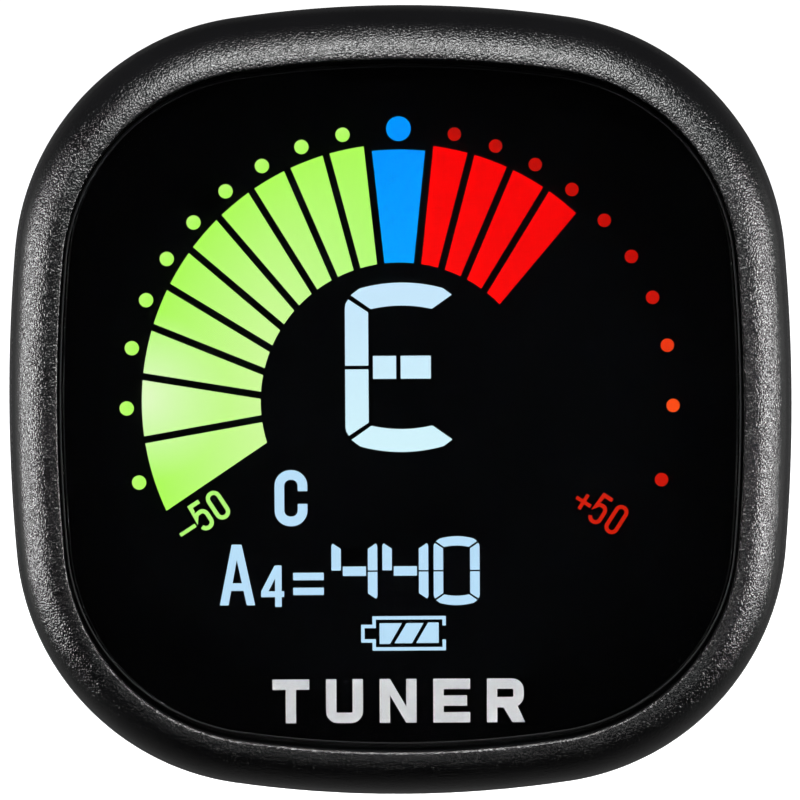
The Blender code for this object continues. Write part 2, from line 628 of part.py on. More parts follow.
def arm(empty):
    """The short link between the two hinges."""
    black = finish("black_arm_plastic", (0.022, 0.022, 0.023), 0.45)
    steps = 10
    near = [math.pi / 2 - math.pi * k / steps for k in range(steps + 1)]
    profile = [(CLIP_HINGE_Y + KNUCKLE_RADIUS * math.cos(a), HEAD_Z + KNUCKLE_RADIUS * math.sin(a))
               for a in near]
    profile += [(TILT_Y - KNUCKLE_RADIUS * math.cos(a), HEAD_Z - KNUCKLE_RADIUS * math.sin(a))
                for a in near]
    link = profile_block("arm", profile, (-ARM_HALF_WIDTH, ARM_HALF_WIDTH), black)
    bores = [rod(f"arm_bore_{n}", "X", (0, y, HEAD_Z), HINGE_BORE, (-4 * MM, 4 * MM))
             for n, y in enumerate((CLIP_HINGE_Y, TILT_Y), 1)]
    combine(link, "DIFFERENCE", bores)
    hang(link, empty)


# ---------------------------------------------------------------- clip

def fixed_jaw(empty):
    """The clip's fixed side: a plate with ears for the arm, lugs for the pin and a stop rib."""
    black = finish("black_clip_plastic", (0.02, 0.02, 0.021), 0.48)
    plate = rounded_block("fixed_jaw", (-PLATE_HALF_WIDTH, PLATE_HALF_WIDTH), FIXED_PLATE_Y, PLATE_Z,
                          PLATE_CORNER, black)
    inside = 0.6 * MM
    rib_y = (FIXED_PLATE_Y[1] - inside, MOVING_PLATE_Y[0] - FINE)
    extras = [block("stop_rib", (-4 * MM, 4 * MM), rib_y, STOP_Z)]
    for side, x in mirrored_spans(EAR_X):
        extras.append(lug(f"jaw_ear_{side}", CLIP_HINGE_Y, HEAD_Z, FIXED_PLATE_Y[0] + inside,
                          KNUCKLE_RADIUS + inside, KNUCKLE_RADIUS, x))
    for side, x in mirrored_spans(FIXED_LUG_X):
        extras.append(lug(f"fixed_lug_{side}", PIVOT_Y, PIVOT_Z, FIXED_PLATE_Y[1] - inside,
                          PIVOT_RADIUS + inside, PIVOT_RADIUS, x))
    bores = [rod("jaw_ear_bore", "X", (0, CLIP_HINGE_Y, HEAD_Z), HINGE_BORE, (-7 * MM, 7 * MM)),
             rod("fixed_lug_bore", "X", (0, PIVOT_Y, PIVOT_Z), HINGE_BORE, (-9.5 * MM, 9.5 * MM))]
    combine(plate, "UNION", extras)
    combine(plate, "DIFFERENCE", bores)
    hang(plate, empty)


def moving_jaw(empty):
    """The clip's sprung side: a plate that bends outwards into the finger lever."""
    black = finish("black_lever_plastic", (0.02, 0.02, 0.021), 0.48)
    thick = MOVING_PLATE_Y[1] - MOVING_PLATE_Y[0]
    lean = math.atan2(LEVER_TOP[0] - MOVING_PLATE_Y[0], LEVER_TOP[1] - LEVER_BEND_Z)
    outer_top = (LEVER_TOP[0] + thick * math.cos(lean), LEVER_TOP[1] - thick * math.sin(lean))
    outer_bend = LEVER_BEND_Z - thick * math.tan(lean / 2)
    profile = [(MOVING_PLATE_Y[0], PLATE_Z[0]), (MOVING_PLATE_Y[1], PLATE_Z[0]),
               (MOVING_PLATE_Y[1], outer_bend), outer_top, LEVER_TOP, (MOVING_PLATE_Y[0], LEVER_BEND_Z)]
    half = (-PLATE_HALF_WIDTH, PLATE_HALF_WIDTH)
    jaw = profile_block("moving_jaw", profile, half, black)
    rounding = rounded_block("lever_rounding", half, (0, 30 * MM), (PLATE_Z[0], LEVER_TOP[1]), PLATE_CORNER)
    lugs = [lug(f"moving_lug_{side}", PIVOT_Y, PIVOT_Z, MOVING_PLATE_Y[0] + 0.6 * MM, PIVOT_RADIUS,
                PIVOT_RADIUS, x) for side, x in mirrored_spans(MOVING_LUG_X)]
    bore = rod("moving_lug_bore", "X", (0, PIVOT_Y, PIVOT_Z), HINGE_BORE, (-7 * MM, 7 * MM))
    combine(jaw, "INTERSECT", [rounding])
    combine(jaw, "UNION", lugs)
    combine(jaw, "DIFFERENCE", [bore])
    hang(jaw, empty)


def pads(fixed, moving):
    rubber = finish("pad_rubber", (0.05, 0.05, 0.052), 0.75)
    x = (-PAD_HALF[0], PAD_HALF[0])
    z = (-PAD_HALF[1], PAD_HALF[1])
    hang(rounded_block("fixed_pad", x, (-PAD_THICKNESS, 0), z, 2 * MM, rubber), fixed)
    hang(rounded_block("moving_pad", x, (JAW_GAP, JAW_GAP + PAD_THICKNESS), z, 2 * MM, rubber), moving)


def pin_and_spring(fixed):
    """The clip's pin, and the torsion spring round it that closes the jaws."""
    steel = finish("pin_steel", (0.55, 0.55, 0.56), 0.25, 1.0)
    wire = finish("spring_wire", (0.6, 0.6, 0.61), 0.25, 1.0)
    end = FIXED_LUG_X[1] + FINE
    section = [(1.5 * MM, -end - 0.6 * MM), (1.5 * MM, -end), (HINGE_SHAFT, -end),
               (HINGE_SHAFT, end + 0.6 * MM)]
    hang(turned("clip_pin", section, "X", (0, PIVOT_Y, PIVOT_Z), steel, 16), fixed)
    touch = WIRE_RADIUS + 2 * FINE
    leg_z = 23.0 * MM
    lever_y = MOVING_PLATE_Y[0] + (leg_z - LEVER_BEND_Z) * (LEVER_TOP[0] - MOVING_PLATE_Y[0]) / (
        LEVER_TOP[1] - LEVER_BEND_Z)
    steps = 12 * COIL_TURNS + 6
    route = [(-COIL_HALF_LENGTH, FIXED_PLATE_Y[1] + touch, leg_z)]
    for k in range(steps + 1):
        a = math.pi + 2 * math.pi * k / 12
        x = -COIL_HALF_LENGTH + 2 * COIL_HALF_LENGTH * k / steps
        route.append((x, PIVOT_Y + COIL_RADIUS * math.cos(a), PIVOT_Z + COIL_RADIUS * math.sin(a)))
    route.append((COIL_HALF_LENGTH, lever_y - touch * 1.15, leg_z))
    hang(tube("clip_spring", route, WIRE_RADIUS, wire), fixed)


def main():
    clear_scene()
    clip = axis_empty("clip_frame", (0, 0, 0))
    jaw_axis = axis_empty("jaw_open_axis", (0, PIVOT_Y, PIVOT_Z), clip)
    clip_hinge = axis_empty("clip_hinge_axis", (0, CLIP_HINGE_Y, HEAD_Z), clip)
    tilt = axis_empty("head_tilt_axis", (0, TILT_Y, HEAD_Z), clip_hinge)
    head = axis_empty("head_swivel_axis", (0, depth(REAR_DEPTH), HEAD_Z), tilt)
    front_bezel(head)
    lens_and_tape(head)
    display(head)
    board(head)
    usb_socket(head)
    power_and_sensor(head)
    rear_cover(head)
    case_screws(head)
    buttons(head)
    swivel(head, tilt)
    hinge_hardware("tilt", TILT_Y, tilt)
    arm(clip_hinge)
    hinge_hardware("clip_hinge", CLIP_HINGE_Y, clip)
    fixed_jaw(clip)
    moving_jaw(jaw_axis)
    pads(clip, jaw_axis)
    pin_and_spring(clip)


main()
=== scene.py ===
import json
import math

import bmesh
import bpy
from mathutils import Matrix, Quaternion, Vector

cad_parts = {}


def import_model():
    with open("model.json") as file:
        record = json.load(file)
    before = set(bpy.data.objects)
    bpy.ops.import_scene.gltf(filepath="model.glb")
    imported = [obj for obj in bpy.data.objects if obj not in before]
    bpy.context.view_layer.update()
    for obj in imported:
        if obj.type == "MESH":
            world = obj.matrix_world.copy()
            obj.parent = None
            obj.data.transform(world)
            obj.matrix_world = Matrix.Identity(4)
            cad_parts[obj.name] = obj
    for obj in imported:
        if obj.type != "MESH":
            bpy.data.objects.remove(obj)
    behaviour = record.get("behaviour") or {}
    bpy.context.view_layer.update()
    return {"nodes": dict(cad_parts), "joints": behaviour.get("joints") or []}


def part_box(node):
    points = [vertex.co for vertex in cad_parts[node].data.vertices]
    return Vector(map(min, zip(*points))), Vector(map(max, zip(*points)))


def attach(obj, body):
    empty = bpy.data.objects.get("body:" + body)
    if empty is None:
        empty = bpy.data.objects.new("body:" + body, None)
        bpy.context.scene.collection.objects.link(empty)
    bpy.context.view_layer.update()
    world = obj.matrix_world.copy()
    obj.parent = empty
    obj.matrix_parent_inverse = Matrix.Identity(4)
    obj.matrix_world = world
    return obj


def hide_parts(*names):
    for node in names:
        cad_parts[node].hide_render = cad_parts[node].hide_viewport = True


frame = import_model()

MM = 0.001                          # sizes and places below are in millimetres

# ---- places, from the frame

BEZEL_LOW, BEZEL_HIGH = [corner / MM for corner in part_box("front_bezel")]
RIM_Y = BEZEL_LOW.y
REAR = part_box("rear_cover")[1].y / MM - RIM_Y
LENS_FRONT, LENS_BACK = [corner.y / MM - RIM_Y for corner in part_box("lens")]
LCD_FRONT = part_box("lcd_cell")[0].y / MM - RIM_Y
HEAD_Z = (BEZEL_LOW.z + BEZEL_HIGH.z) / 2
HALF_WIDTH = (BEZEL_HIGH.x - BEZEL_LOW.x) / 2
HALF_HEIGHT = (BEZEL_HIGH.z - BEZEL_LOW.z) / 2
JOINTS = {j["name"]: j for j in frame["joints"]}
TILT_Y = JOINTS["head_tilt"]["pos_m"][1] / MM
CLIP_HINGE_Y = JOINTS["clip_hinge"]["pos_m"][1] / MM
PIVOT_Y, PIVOT_Z = [place / MM for place in JOINTS["jaw_open"]["pos_m"][1:]]

# the outline's corner arcs, the bezel's and cover's sections, and the case screws
CORNER_RADIUS = 16.3
CORNER_CENTRE = 8.34
RIM_INSET = 3.1
WIDEST = 5.1
PARTING = 6.6
FLOOR = REAR - 1.4                  # the cover's inner face
SCREW_OFFSET = 16.1


def depth(y):
    """World Y at a distance behind the bezel's rim."""
    return RIM_Y + y


def at_head(x=0.0, z=0.0):
    """A point in the rim's plane, from the head's middle."""
    return (x, RIM_Y, HEAD_Z + z)


def corner_places():
    """The four case screws' places from the head's middle, clockwise from the top right."""
    return [(sx * SCREW_OFFSET, sz * SCREW_OFFSET) for sx, sz in ((1, 1), (1, -1), (-1, -1), (-1, 1))]


# ---- shapes

def smooth(obj, sharp):
    """Smooth shading, but for edges that turn by more than sharp degrees."""
    obj.data.shade_smooth()
    obj.data.set_sharp_from_angle(angle=math.radians(sharp))
    return obj


def new_object(name, data):
    obj = bpy.data.objects.new(name, data)
    bpy.context.scene.collection.objects.link(obj)
    return obj


def finish_mesh(name, shape):
    """An object from a shape in millimetres, which is used up."""
    bmesh.ops.scale(shape, vec=(MM, MM, MM), verts=shape.verts)
    bmesh.ops.recalc_face_normals(shape, faces=shape.faces)
    mesh = bpy.data.meshes.new(name)
    shape.to_mesh(mesh)
    shape.free()
    return smooth(new_object(name, mesh), 35)


def stack_loops(name, loops, closed=False):
    """A solid through a list of loops: capped at both ends, or joined back to the first."""
    shape = bmesh.new()
    rows = [[shape.verts.new(p) for p in loop] for loop in loops]
    pairs = list(zip(rows, rows[1:]))
    if closed:
        pairs.append((rows[-1], rows[0]))
    for first, second in pairs:
        for k in range(len(first)):
            n = (k + 1) % len(first)
            shape.faces.new((first[k], first[n], second[n], second[k]))
    if not closed:
        shape.faces.new(rows[0])
        shape.faces.new(rows[-1])
    return finish_mesh(name, shape)


def arc(cx, cy, radius, start, stop, steps):
    """Points of an arc, with angles in degrees."""
    turns = [math.radians(start + (stop - start) * k / steps) for k in range(steps + 1)]
    return [(cx + radius * math.cos(a), cy + radius * math.sin(a)) for a in turns]


def circle(radius, sides, cx=0.0, cy=0.0):
    return arc(cx, cy, radius, 0, 360 - 360 / sides, sides - 1)


def side_centre(half):
    """How far past the middle a side arc's centre lies, for it to meet the corner arcs without a kink."""
    reach = half - CORNER_RADIUS
    return (2 * CORNER_CENTRE ** 2 - reach ** 2) / (2 * (reach - CORNER_CENTRE))


SIDE_CENTRE = side_centre(HALF_WIDTH)
TOP_CENTRE = side_centre(HALF_HEIGHT)
SIDE_TURN = math.degrees(math.atan2(CORNER_CENTRE, CORNER_CENTRE + SIDE_CENTRE))
TOP_TURN = 90 - math.degrees(math.atan2(CORNER_CENTRE, CORNER_CENTRE + TOP_CENTRE))


def quarter(inset, side_steps=8, corner_steps=44):
    """The outline's upper right quarter: half of a side, a corner and half of the top."""
    side = arc(-SIDE_CENTRE, 0, HALF_WIDTH + SIDE_CENTRE - inset, 0, SIDE_TURN, side_steps)
    corner = arc(CORNER_CENTRE, CORNER_CENTRE, CORNER_RADIUS - inset, SIDE_TURN, TOP_TURN, corner_steps)
    top = arc(0, -TOP_CENTRE, HALF_HEIGHT + TOP_CENTRE - inset, TOP_TURN, 90, side_steps)
    return side[:-1] + corner[:-1] + top


def head_loop(inset, y):
    """The head's outline drawn in by inset, at world y."""
    right = quarter(inset)
    upper = right + [(-x, z) for x, z in reversed(right[:-1])]
    whole = upper + [(x, -z) for x, z in reversed(upper[1:-1])]
    return [(x, y, HEAD_Z + z) for x, z in whole]


def head_shape(name, section, closed=False):
    return stack_loops(name, [head_loop(i, depth(d)) for i, d in section], closed)


def facing(axis, centre, outline, along):
    """A flat outline turned to face along X or Y, at a distance along that axis from centre."""
    cx, cy, cz = centre
    if axis == "X":
        return [(cx + along, cy + u, cz + v) for u, v in outline]
    return [(cx + u, cy + along, cz + v) for u, v in outline]


def turned(name, section, axis, centre, sides=64, closed=False):
    """A section in (radius, distance along the axis) turned about X or Y."""
    loops = [facing(axis, centre, circle(radius, sides), along) for radius, along in section]
    return stack_loops(name, loops, closed)


def rod(name, axis, centre, radius, span, sides=64):
    return turned(name, [(radius, span[0]), (radius, span[1])], axis, centre, sides)


def prism(name, outline, axis, span, centre=(0, 0, 0)):
    """A closed outline run along X (outline in y, z) or along Y (outline in x, z)."""
    return stack_loops(name, [facing(axis, centre, outline, along) for along in span])


def rounded_rectangle(x, z, radius, steps=10):
    (x0, x1), (z0, z1) = x, z
    return (arc(x1 - radius, z1 - radius, radius, 0, 90, steps)
            + arc(x0 + radius, z1 - radius, radius, 90, 180, steps)
            + arc(x0 + radius, z0 + radius, radius, 180, 270, steps)
            + arc(x1 - radius, z0 + radius, radius, 270, 360, steps))


def bar(x, z):
    return [(x[0], z[0]), (x[1], z[0]), (x[1], z[1]), (x[0], z[1])]


def block(name, x, y, z):
    return prism(name, bar(x, z), "Y", y)


def boolean(obj, operation, others):
    """Joins or cuts other shapes, which are used up."""
    for other in others:
        modifier = obj.modifiers.new(other.name, "BOOLEAN")
        modifier.operation = operation
        modifier.object = other
    if others:
        apply_modifiers(obj)
    for other in others:
        bpy.data.meshes.remove(other.data)


def carve(obj, joined, cut, sharp=32):
    """Joins shapes to obj, cuts others out of it, and shades it again."""
    boolean(obj, "UNION", joined)
    boolean(obj, "DIFFERENCE", cut)
    return smooth(obj, sharp)


def evaluated(obj):
    """A new mesh of obj as it shows, with its modifiers applied."""
    return bpy.data.meshes.new_from_object(obj.evaluated_get(bpy.context.evaluated_depsgraph_get()))


def apply_modifiers(obj):
    mesh = evaluated(obj)
    obj.modifiers.clear()
    old, obj.data = obj.data, mesh
    bpy.data.meshes.remove(old)
    return obj


def round_edges(obj, width, segments=3, angle=40):
    """Rounds the edges that turn by more than angle, as a mould or a press leaves them."""
    bevel = obj.modifiers.new("edges", "BEVEL")
    bevel.width = width * MM
    bevel.segments = segments
    bevel.limit_method = "ANGLE"
    bevel.angle_limit = math.radians(angle)
    bevel.harden_normals = False
    return smooth(apply_modifiers(obj), 50)


def lug(name, axis_y, axis_z, base_y, radius, x, foot=0.9, edge=0.28):
    """An ear rounded about a hinge axis, on a plate at base_y, where each side is foot wider than radius."""
    side = 1 if axis_y > base_y else -1
    rounded = [(axis_y + side * (u - axis_y), v) for u, v in arc(axis_y, axis_z, radius, 90, -90, 24)]
    reach = radius + foot
    outline = [(base_y, axis_z + reach), *rounded, (base_y, axis_z - reach)]
    return round_edges(prism(name, outline, "X", x), edge, 3, 60)


def tube(name, points, radius, sides=16):
    """A round wire along points, with closed ends."""
    points = [Vector(p) for p in points]
    normal = (points[1] - points[0]).orthogonal()
    loops = []
    for before, p, after in zip([points[0], *points], points, [*points[1:], points[-1]]):
        along = (after - before).normalized()
        normal = (normal - along * normal.dot(along)).normalized()
        across = along.cross(normal)
        loops.append([p + normal * u + across * v for u, v in circle(radius, sides)])
    return stack_loops(name, loops)


def both_sides(span):
    return [("left", (-span[1], -span[0])), ("right", span)]


# ---- flat graphics

def stroke(points, width):
    """The closed outline of a line of even width, mitred at its corners."""
    points = [Vector(p) for p in points]
    legs = [(b - a).normalized() for a, b in zip(points, points[1:])]
    left, right = [], []
    for p, before, after in zip(points, [legs[0], *legs], [*legs, legs[-1]]):
        across = Vector((-before.y, before.x))
        mitre = (across + Vector((-after.y, after.x))).normalized()
        reach = width / 2 / max(0.3, mitre.dot(across))
        left.append(p + mitre * reach)
        right.append(p - mitre * reach)
    return left + right[::-1]


def moved(contour, dx, dz, turn=0.0, size=1.0):
    c, s = math.cos(turn) * size, math.sin(turn) * size
    return [(dx + x * c - z * s, dz + x * s + z * c) for x, z in contour]


def graphic(name, contours, y, thickness, centre=(0.0, HEAD_Z), size=1.0):
    """Thin closed solids from flat contours about centre. A contour inside another is a hole."""
    cx, cz = centre
    curve = bpy.data.curves.new(name, "CURVE")
    curve.dimensions = "2D"
    curve.fill_mode = "BOTH"
    curve.extrude = thickness / 2
    for contour in contours:
        spline = curve.splines.new("POLY")
        spline.points.add(len(contour) - 1)
        for point, (x, z) in zip(spline.points, contour):
            point.co = (x * size, z * size, 0, 1)
        spline.use_cyclic_u = True
    holder = new_object(name, curve)
    mesh = evaluated(holder)
    bpy.data.objects.remove(holder)
    bpy.data.curves.remove(curve)
    shape = bmesh.new()
    shape.from_mesh(mesh)
    bpy.data.meshes.remove(mesh)
    bmesh.ops.remove_doubles(shape, verts=shape.verts, dist=0.0001)
    upright = Matrix.Translation((cx, y, cz)) @ Matrix.Rotation(math.radians(90), 4, "X")
    bmesh.ops.transform(shape, matrix=upright, verts=shape.verts)
    return finish_mesh(name, shape)


# ---- materials

GLOW = 1.08                         # of the display's lit areas, which makes up for what the lens takes


def linear(*display):
    """Linear light from red, green and blue display values of 0 to 255."""
    levels = [value / 255 for value in display]
    return [v / 12.92 if v <= 0.04045 else ((v + 0.055) / 1.055) ** 2.4 for v in levels]


def plug(tree, value, socket):
    """Puts a number, a colour or another node's output into a socket."""
    if isinstance(value, bpy.types.NodeSocket):
        tree.links.new(value, socket)
    elif socket.type == "RGBA":
        socket.default_value = (*value[:3], 1.0)
    else:
        socket.default_value = value


def add_node(tree, kind, values, output, **settings):
    """Adds a node, fills its sockets, and gives one of its outputs."""
    node = tree.nodes.new("ShaderNode" + kind)
    for key, value in settings.items():
        setattr(node, key, value)
    for socket, value in values.items():
        plug(tree, value, node.inputs[socket])
    return node.outputs[output]


class Finish:
    """A material whose nodes are added one by one."""

    def __init__(self, name, roughness=0.5, metallic=0.0):
        self.material = bpy.data.materials.new(name)
        self.material.use_nodes = True
        self.tree = self.material.node_tree
        self.shader = self.tree.nodes["Principled BSDF"]
        self.set("Roughness", roughness).set("Metallic", metallic)
        self.place = self.add("TexCoord", {}, "Object")

    def set(self, socket, value):
        plug(self.tree, value, self.shader.inputs[socket])
        return self

    def add(self, kind, values, output=0, **settings):
        return add_node(self.tree, kind, values, output, **settings)

    def noise(self, size, detail=2.0, roughness=0.5, place=None):
        """Noise whose lumps are about size across."""
        values = {"Scale": 1 / (size * MM), "Detail": detail, "Roughness": roughness}
        return self.add("TexNoise", {**values, "Vector": place or self.place}, "Fac")

    def range(self, value, low, high, start=0.3, stop=0.7):
        values = {"Value": value, "From Min": start, "From Max": stop, "To Min": low, "To Max": high}
        return self.add("MapRange", values, "Result")

    def between(self, place, low, high, start, stop):
        """A value that runs from low to high between two places, or two distances."""
        return self.range(place, low, high, start * MM, stop * MM)

    def mix(self, factor, low, high):
        return self.add("Mix", {"Factor": factor, 6: low, 7: high}, 2, data_type="RGBA")

    def multiply(self, first, second):
        return self.add("Math", {0: first, 1: second}, operation="MULTIPLY")

    def axis(self, name):
        """One world coordinate of the piece at rest."""
        return self.add("SeparateXYZ", {0: self.place}, name)

    def bump(self, height, distance):
        return self.set("Normal", self.add("Bump", {"Distance": distance * MM, "Height": height}, "Normal"))

    def tint(self, colour, spread, size):
        """A base colour that varies by spread over lumps of size."""
        low, high = [[c * (1 + side * spread) for c in colour] for side in (-1, 1)]
        return self.set("Base Color", self.mix(self.range(self.noise(size), 0, 1), low, high))


def moulded(name, colour, roughness, grain, height, spread=0.12):
    """Black moulded plastic with a spark-eroded grain."""
    finish = Finish(name).tint(colour, spread, 40 * grain)
    finish.set("Roughness", finish.range(finish.noise(6 * grain), roughness - 0.04, roughness + 0.04))
    return finish.bump(finish.noise(grain, 3.0, 0.6), height)


def satin(name, colour, roughness, metallic=0.0, spread=0.08, size=1.5, height=0.002):
    """A plain smooth finish with slight colour, gloss and surface changes."""
    finish = Finish(name, metallic=metallic).tint(colour, spread, size)
    finish.set("Roughness", finish.range(finish.noise(size / 3, 3.0), roughness - 0.05, roughness + 0.05))
    return finish.bump(finish.noise(size / 8, 3.0), height)


def metal(name, colour, roughness, line=0.05):
    """Machined or drawn metal, with fine lines along X."""
    finish = Finish(name, metallic=1.0).tint(colour, 0.06, 0.8)
    stretched = finish.add("Mapping", {"Vector": finish.place, "Scale": (0.05, 1.0, 1.0)})
    lines = finish.noise(line, 3.0, 0.6, stretched)
    finish.set("Roughness", finish.range(lines, roughness - 0.08, roughness + 0.08))
    return finish.bump(lines, 0.002)


def glowing(name, colour):
    """A lit area of the display."""
    finish = Finish(name, roughness=0.8).tint((0.002, 0.002, 0.002), 0.2, 0.3)
    finish.set("Specular IOR Level", 0.0)
    return finish.set("Emission Color", colour).set("Emission Strength", GLOW)


def wear(obj, *finishes):
    obj.data.materials.clear()
    for finish in finishes:
        obj.data.materials.append(finish.material)
    return obj


def belong(obj, body, replaced=()):
    """Gives a piece its body, and hides what it stands for."""
    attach(obj, body)
    if replaced:
        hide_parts(*replaced)
    return obj


def fit(obj, body, finish, replaced=()):
    return belong(wear(obj, finish), body, replaced)


# ---- head: bezel

CROWN_STEPS = 24
CROWN_START = math.radians(2)       # where the crown's quarter of an ellipse begins, at the lip
LIP_RADIUS = 0.15
LIP_TURN = math.radians(3.3)        # how far the crown already leans outwards at the lip
LIP_START = 10                      # faces of the section between the crown and the lens's opening
BEZEL_BLACK = (0.003, 0.003, 0.0033)


def bezel_section():
    """The ring's section as (inset, depth): crown, side, the ledge that holds the lens, and the lip."""
    end = RIM_INSET - LIP_RADIUS * (1 + math.sin(LIP_TURN))
    rise = LIP_RADIUS * (1 - math.cos(LIP_TURN))
    reach = end / (1 - math.sin(CROWN_START))
    fall = (WIDEST - rise) / math.cos(CROWN_START)
    section = []
    for k in range(CROWN_STEPS + 1):
        a = CROWN_START + (math.pi / 2 - CROWN_START) * k / CROWN_STEPS
        section.append((reach * (1 - math.sin(a)), rise + fall * (math.cos(CROWN_START) - math.cos(a))))
    section += [(0, WIDEST + 0.5), (0.02, PARTING - 0.45), (0.06, PARTING - 0.2), (0.16, PARTING - 0.04)]
    section += [(0.3, PARTING), (1.62, PARTING), (1.62, 3.4), (5.2, 3.4), (5.2, 2.6), (RIM_INSET, 2.6)]
    for k in range(8):
        turn = -math.pi / 2 + (math.pi / 2 + LIP_TURN) * k / 8
        section.append((RIM_INSET - LIP_RADIUS * (1 + math.sin(turn)), LIP_RADIUS * (1 - math.cos(turn))))
    return section


def bezel():
    """The ring, its texture fading out towards the deep outer edge, and the four screw bosses."""
    ring = head_shape("bezel", bezel_section(), closed=True)
    stations = len(head_loop(0, 0))
    for face in ring.data.polygons:
        face.material_index = 1 if face.index // stations >= CROWN_STEPS + LIP_START else 0

    finish = Finish("bezel_black_texture").tint(BEZEL_BLACK, 0.12, 6)
    fade = finish.between(finish.axis("Y"), 1.0, 0.05, depth(1.1), depth(2.9))
    finish.bump(finish.multiply(finish.noise(0.12, 1.0), fade), 0.075)
    duller = finish.between(finish.axis("Y"), 1.0, 2.0, depth(2.8), depth(4.6))
    gloss = finish.range(finish.noise(0.3), 0.17, 0.21)
    finish.set("Roughness", finish.multiply(gloss, duller))
    wear(ring, finish, satin("bezel_lip_black", BEZEL_BLACK, 0.1, size=2, height=0.0005))

    bosses, holes = [], []
    for number, (x, z) in enumerate(corner_places(), 1):
        bosses.append(rod(f"boss_{number}", "Y", at_head(x, z), 1.9, (2.9, 7.5), 32))
        holes.append(rod(f"boss_hole_{number}", "Y", at_head(x, z), 0.8, (4.1, 8.5), 24))
    carve(ring, bosses, holes, 40)
    belong(ring, "head", ["front_bezel"])


# ---- head: lens and display

MASK_Y = depth(LENS_BACK + 0.06)    # the printed black border, just behind the lens
PRINT = 0.03                        # how thick the printed and lit areas are
FACE_Y = depth(LCD_FRONT - 0.02)    # where the display's lit areas lie, on its glass
DIAL_CENTRE = (-0.04, HEAD_Z + 0.069)
DISPLAY_SCALE = 0.995               # of the display's sizes below
LENS_INSET = 3.41
LENS_EDGE = 0.1
LENS_WIDER, LENS_LOWER = 1.007, 0.9935
MASK_INSET = 3.6
MASK_OPENING = 19.05


def lens():
    """The clear window with blacked edges, and the black print behind it with its round opening."""
    section = [(LENS_INSET, LENS_BACK)]
    section += arc(LENS_INSET + LENS_EDGE, LENS_FRONT + LENS_EDGE, LENS_EDGE, 180, 270, 5)
    loops = [[(x * LENS_WIDER, y, HEAD_Z + (z - HEAD_Z) * LENS_LOWER) for x, y, z in head_loop(i, depth(d))]
             for i, d in section]
    window = stack_loops("lens_window", loops)
    clear = Finish("lens_clear_gloss", 0.03)
    clear.set("Transmission Weight", 1.0).set("IOR", 1.49).set("Base Color", (0.97, 0.975, 0.98))
    clear.set("Specular IOR Level", 0.25)
    clear.bump(clear.noise(14, 1.0), 0.004)
    wear(window, clear, satin("lens_edge_black", (0.016, 0.016, 0.017), 0.5, height=0.0))
    for face in window.data.polygons:
        face.material_index = 1 if abs(face.normal.y) < 0.9995 else 0
    belong(window, "head", ["lens"])

    outline = [(x, z - HEAD_Z) for x, y, z in head_loop(MASK_INSET, 0)]
    mask = graphic("lens_mask", [outline, circle(MASK_OPENING, 180)], MASK_Y, PRINT)
    black = satin("lens_print_black", (0.0008, 0.0008, 0.0009), 0.8, height=0.0)
    fit(mask, "head", black.set("Specular IOR Level", 0.0))


def polar(radius, turn):
    """A point by its distance from the dial's middle and its turn from the top, clockwise, in degrees."""
    return (radius * math.sin(math.radians(turn)), radius * math.cos(math.radians(turn)))


def crossing(inner, outer, shift, radius):
    """Where a line through two points, moved sideways by shift, crosses a circle round the middle."""
    a, b = Vector(inner), Vector(outer)
    along = (b - a).normalized()
    start = a + Vector((along.y, -along.x)) * shift
    middle = start.dot(along)
    return start + along * (math.sqrt(middle ** 2 - start.length_squared + radius ** 2) - middle)


def sector(first, last, radii, shifts):
    """A dial segment between two division lines, each given as its turns at the line's two radii."""
    sides = []
    for (inner, outer), shift in zip((first, last), shifts):
        ends = polar(DIVISION_RADII[0], inner), polar(DIVISION_RADII[1], outer)
        sides.append([crossing(*ends, shift, radius) for radius in radii])
    (a, b), (d, c) = sides
    outline = []
    for radius, ends in ((radii[1], (b, c)), (radii[0], (d, a))):
        start, stop = [math.degrees(math.atan2(end.y, end.x)) for end in ends]
        outline += arc(0, 0, radius, start, stop, 10)
    return outline


DIAL_RADII = (8.9, 16.5)
DIVISION_RADII = (9.15, 15.5)
DIVISION_GAP = 0.46
INNER_TURNS = [7.6 + 9.93 * k for k in range(10)] + [107.5]
OUTER_TURNS = [7.0, 16.4, 25.7, 35.0, 44.4, 54.0, 63.6, 73.3, 84.4, 98.2, 114.3]
DOT_RADIUS = 17.47
DOT_TURNS = [11.8, 20.8, 30.0, 39.3, 48.7, 58.2, 67.9, 78.45, 91.2, 107.05]
LIT_RED = 4
BLUE_HALF_TURN = 6.05
BLUE_OUTER = 16.14


def distance_from(finish, x, z):
    """The distance of a display point from one that is given from the dial's middle."""
    offset = ((-DIAL_CENTRE[0] - x) * MM, 0, (-DIAL_CENTRE[1] - z) * MM)
    flat = finish.add("VectorMath", {0: finish.place, 1: (1, 0, 1), 2: offset}, operation="MULTIPLY_ADD")
    return finish.add("VectorMath", {0: flat}, "Value", operation="LENGTH")


def radial_glow(name, inner, outer, radii=DIAL_RADII):
    """A lit area whose colour runs outwards from the dial's middle."""
    finish = glowing(name, outer)
    along = finish.between(distance_from(finish, 0, 0), 0, 1, *radii)
    return finish.set("Emission Color", finish.mix(along, inner, outer))


def lime_glow():
    """The flat side's segments: paler inwards and to the left, and palest next to the backlight."""
    finish = glowing("display_lime", linear(176, 253, 92))
    leftness = finish.between(finish.axis("X"), 1, 0, -8.5, -1.0)
    inner = finish.mix(leftness, linear(181, 253, 116), linear(209, 252, 156))
    along = finish.between(distance_from(finish, 0, 0), 0, 1, *DIAL_RADII)
    radial = finish.mix(along, inner, linear(175, 253, 90))
    nearness = finish.between(distance_from(finish, -16.4, 0.4), 1, 0, 0.5, 5.5)
    return finish.set("Emission Color", finish.mix(nearness, radial, linear(226, 253, 194)))


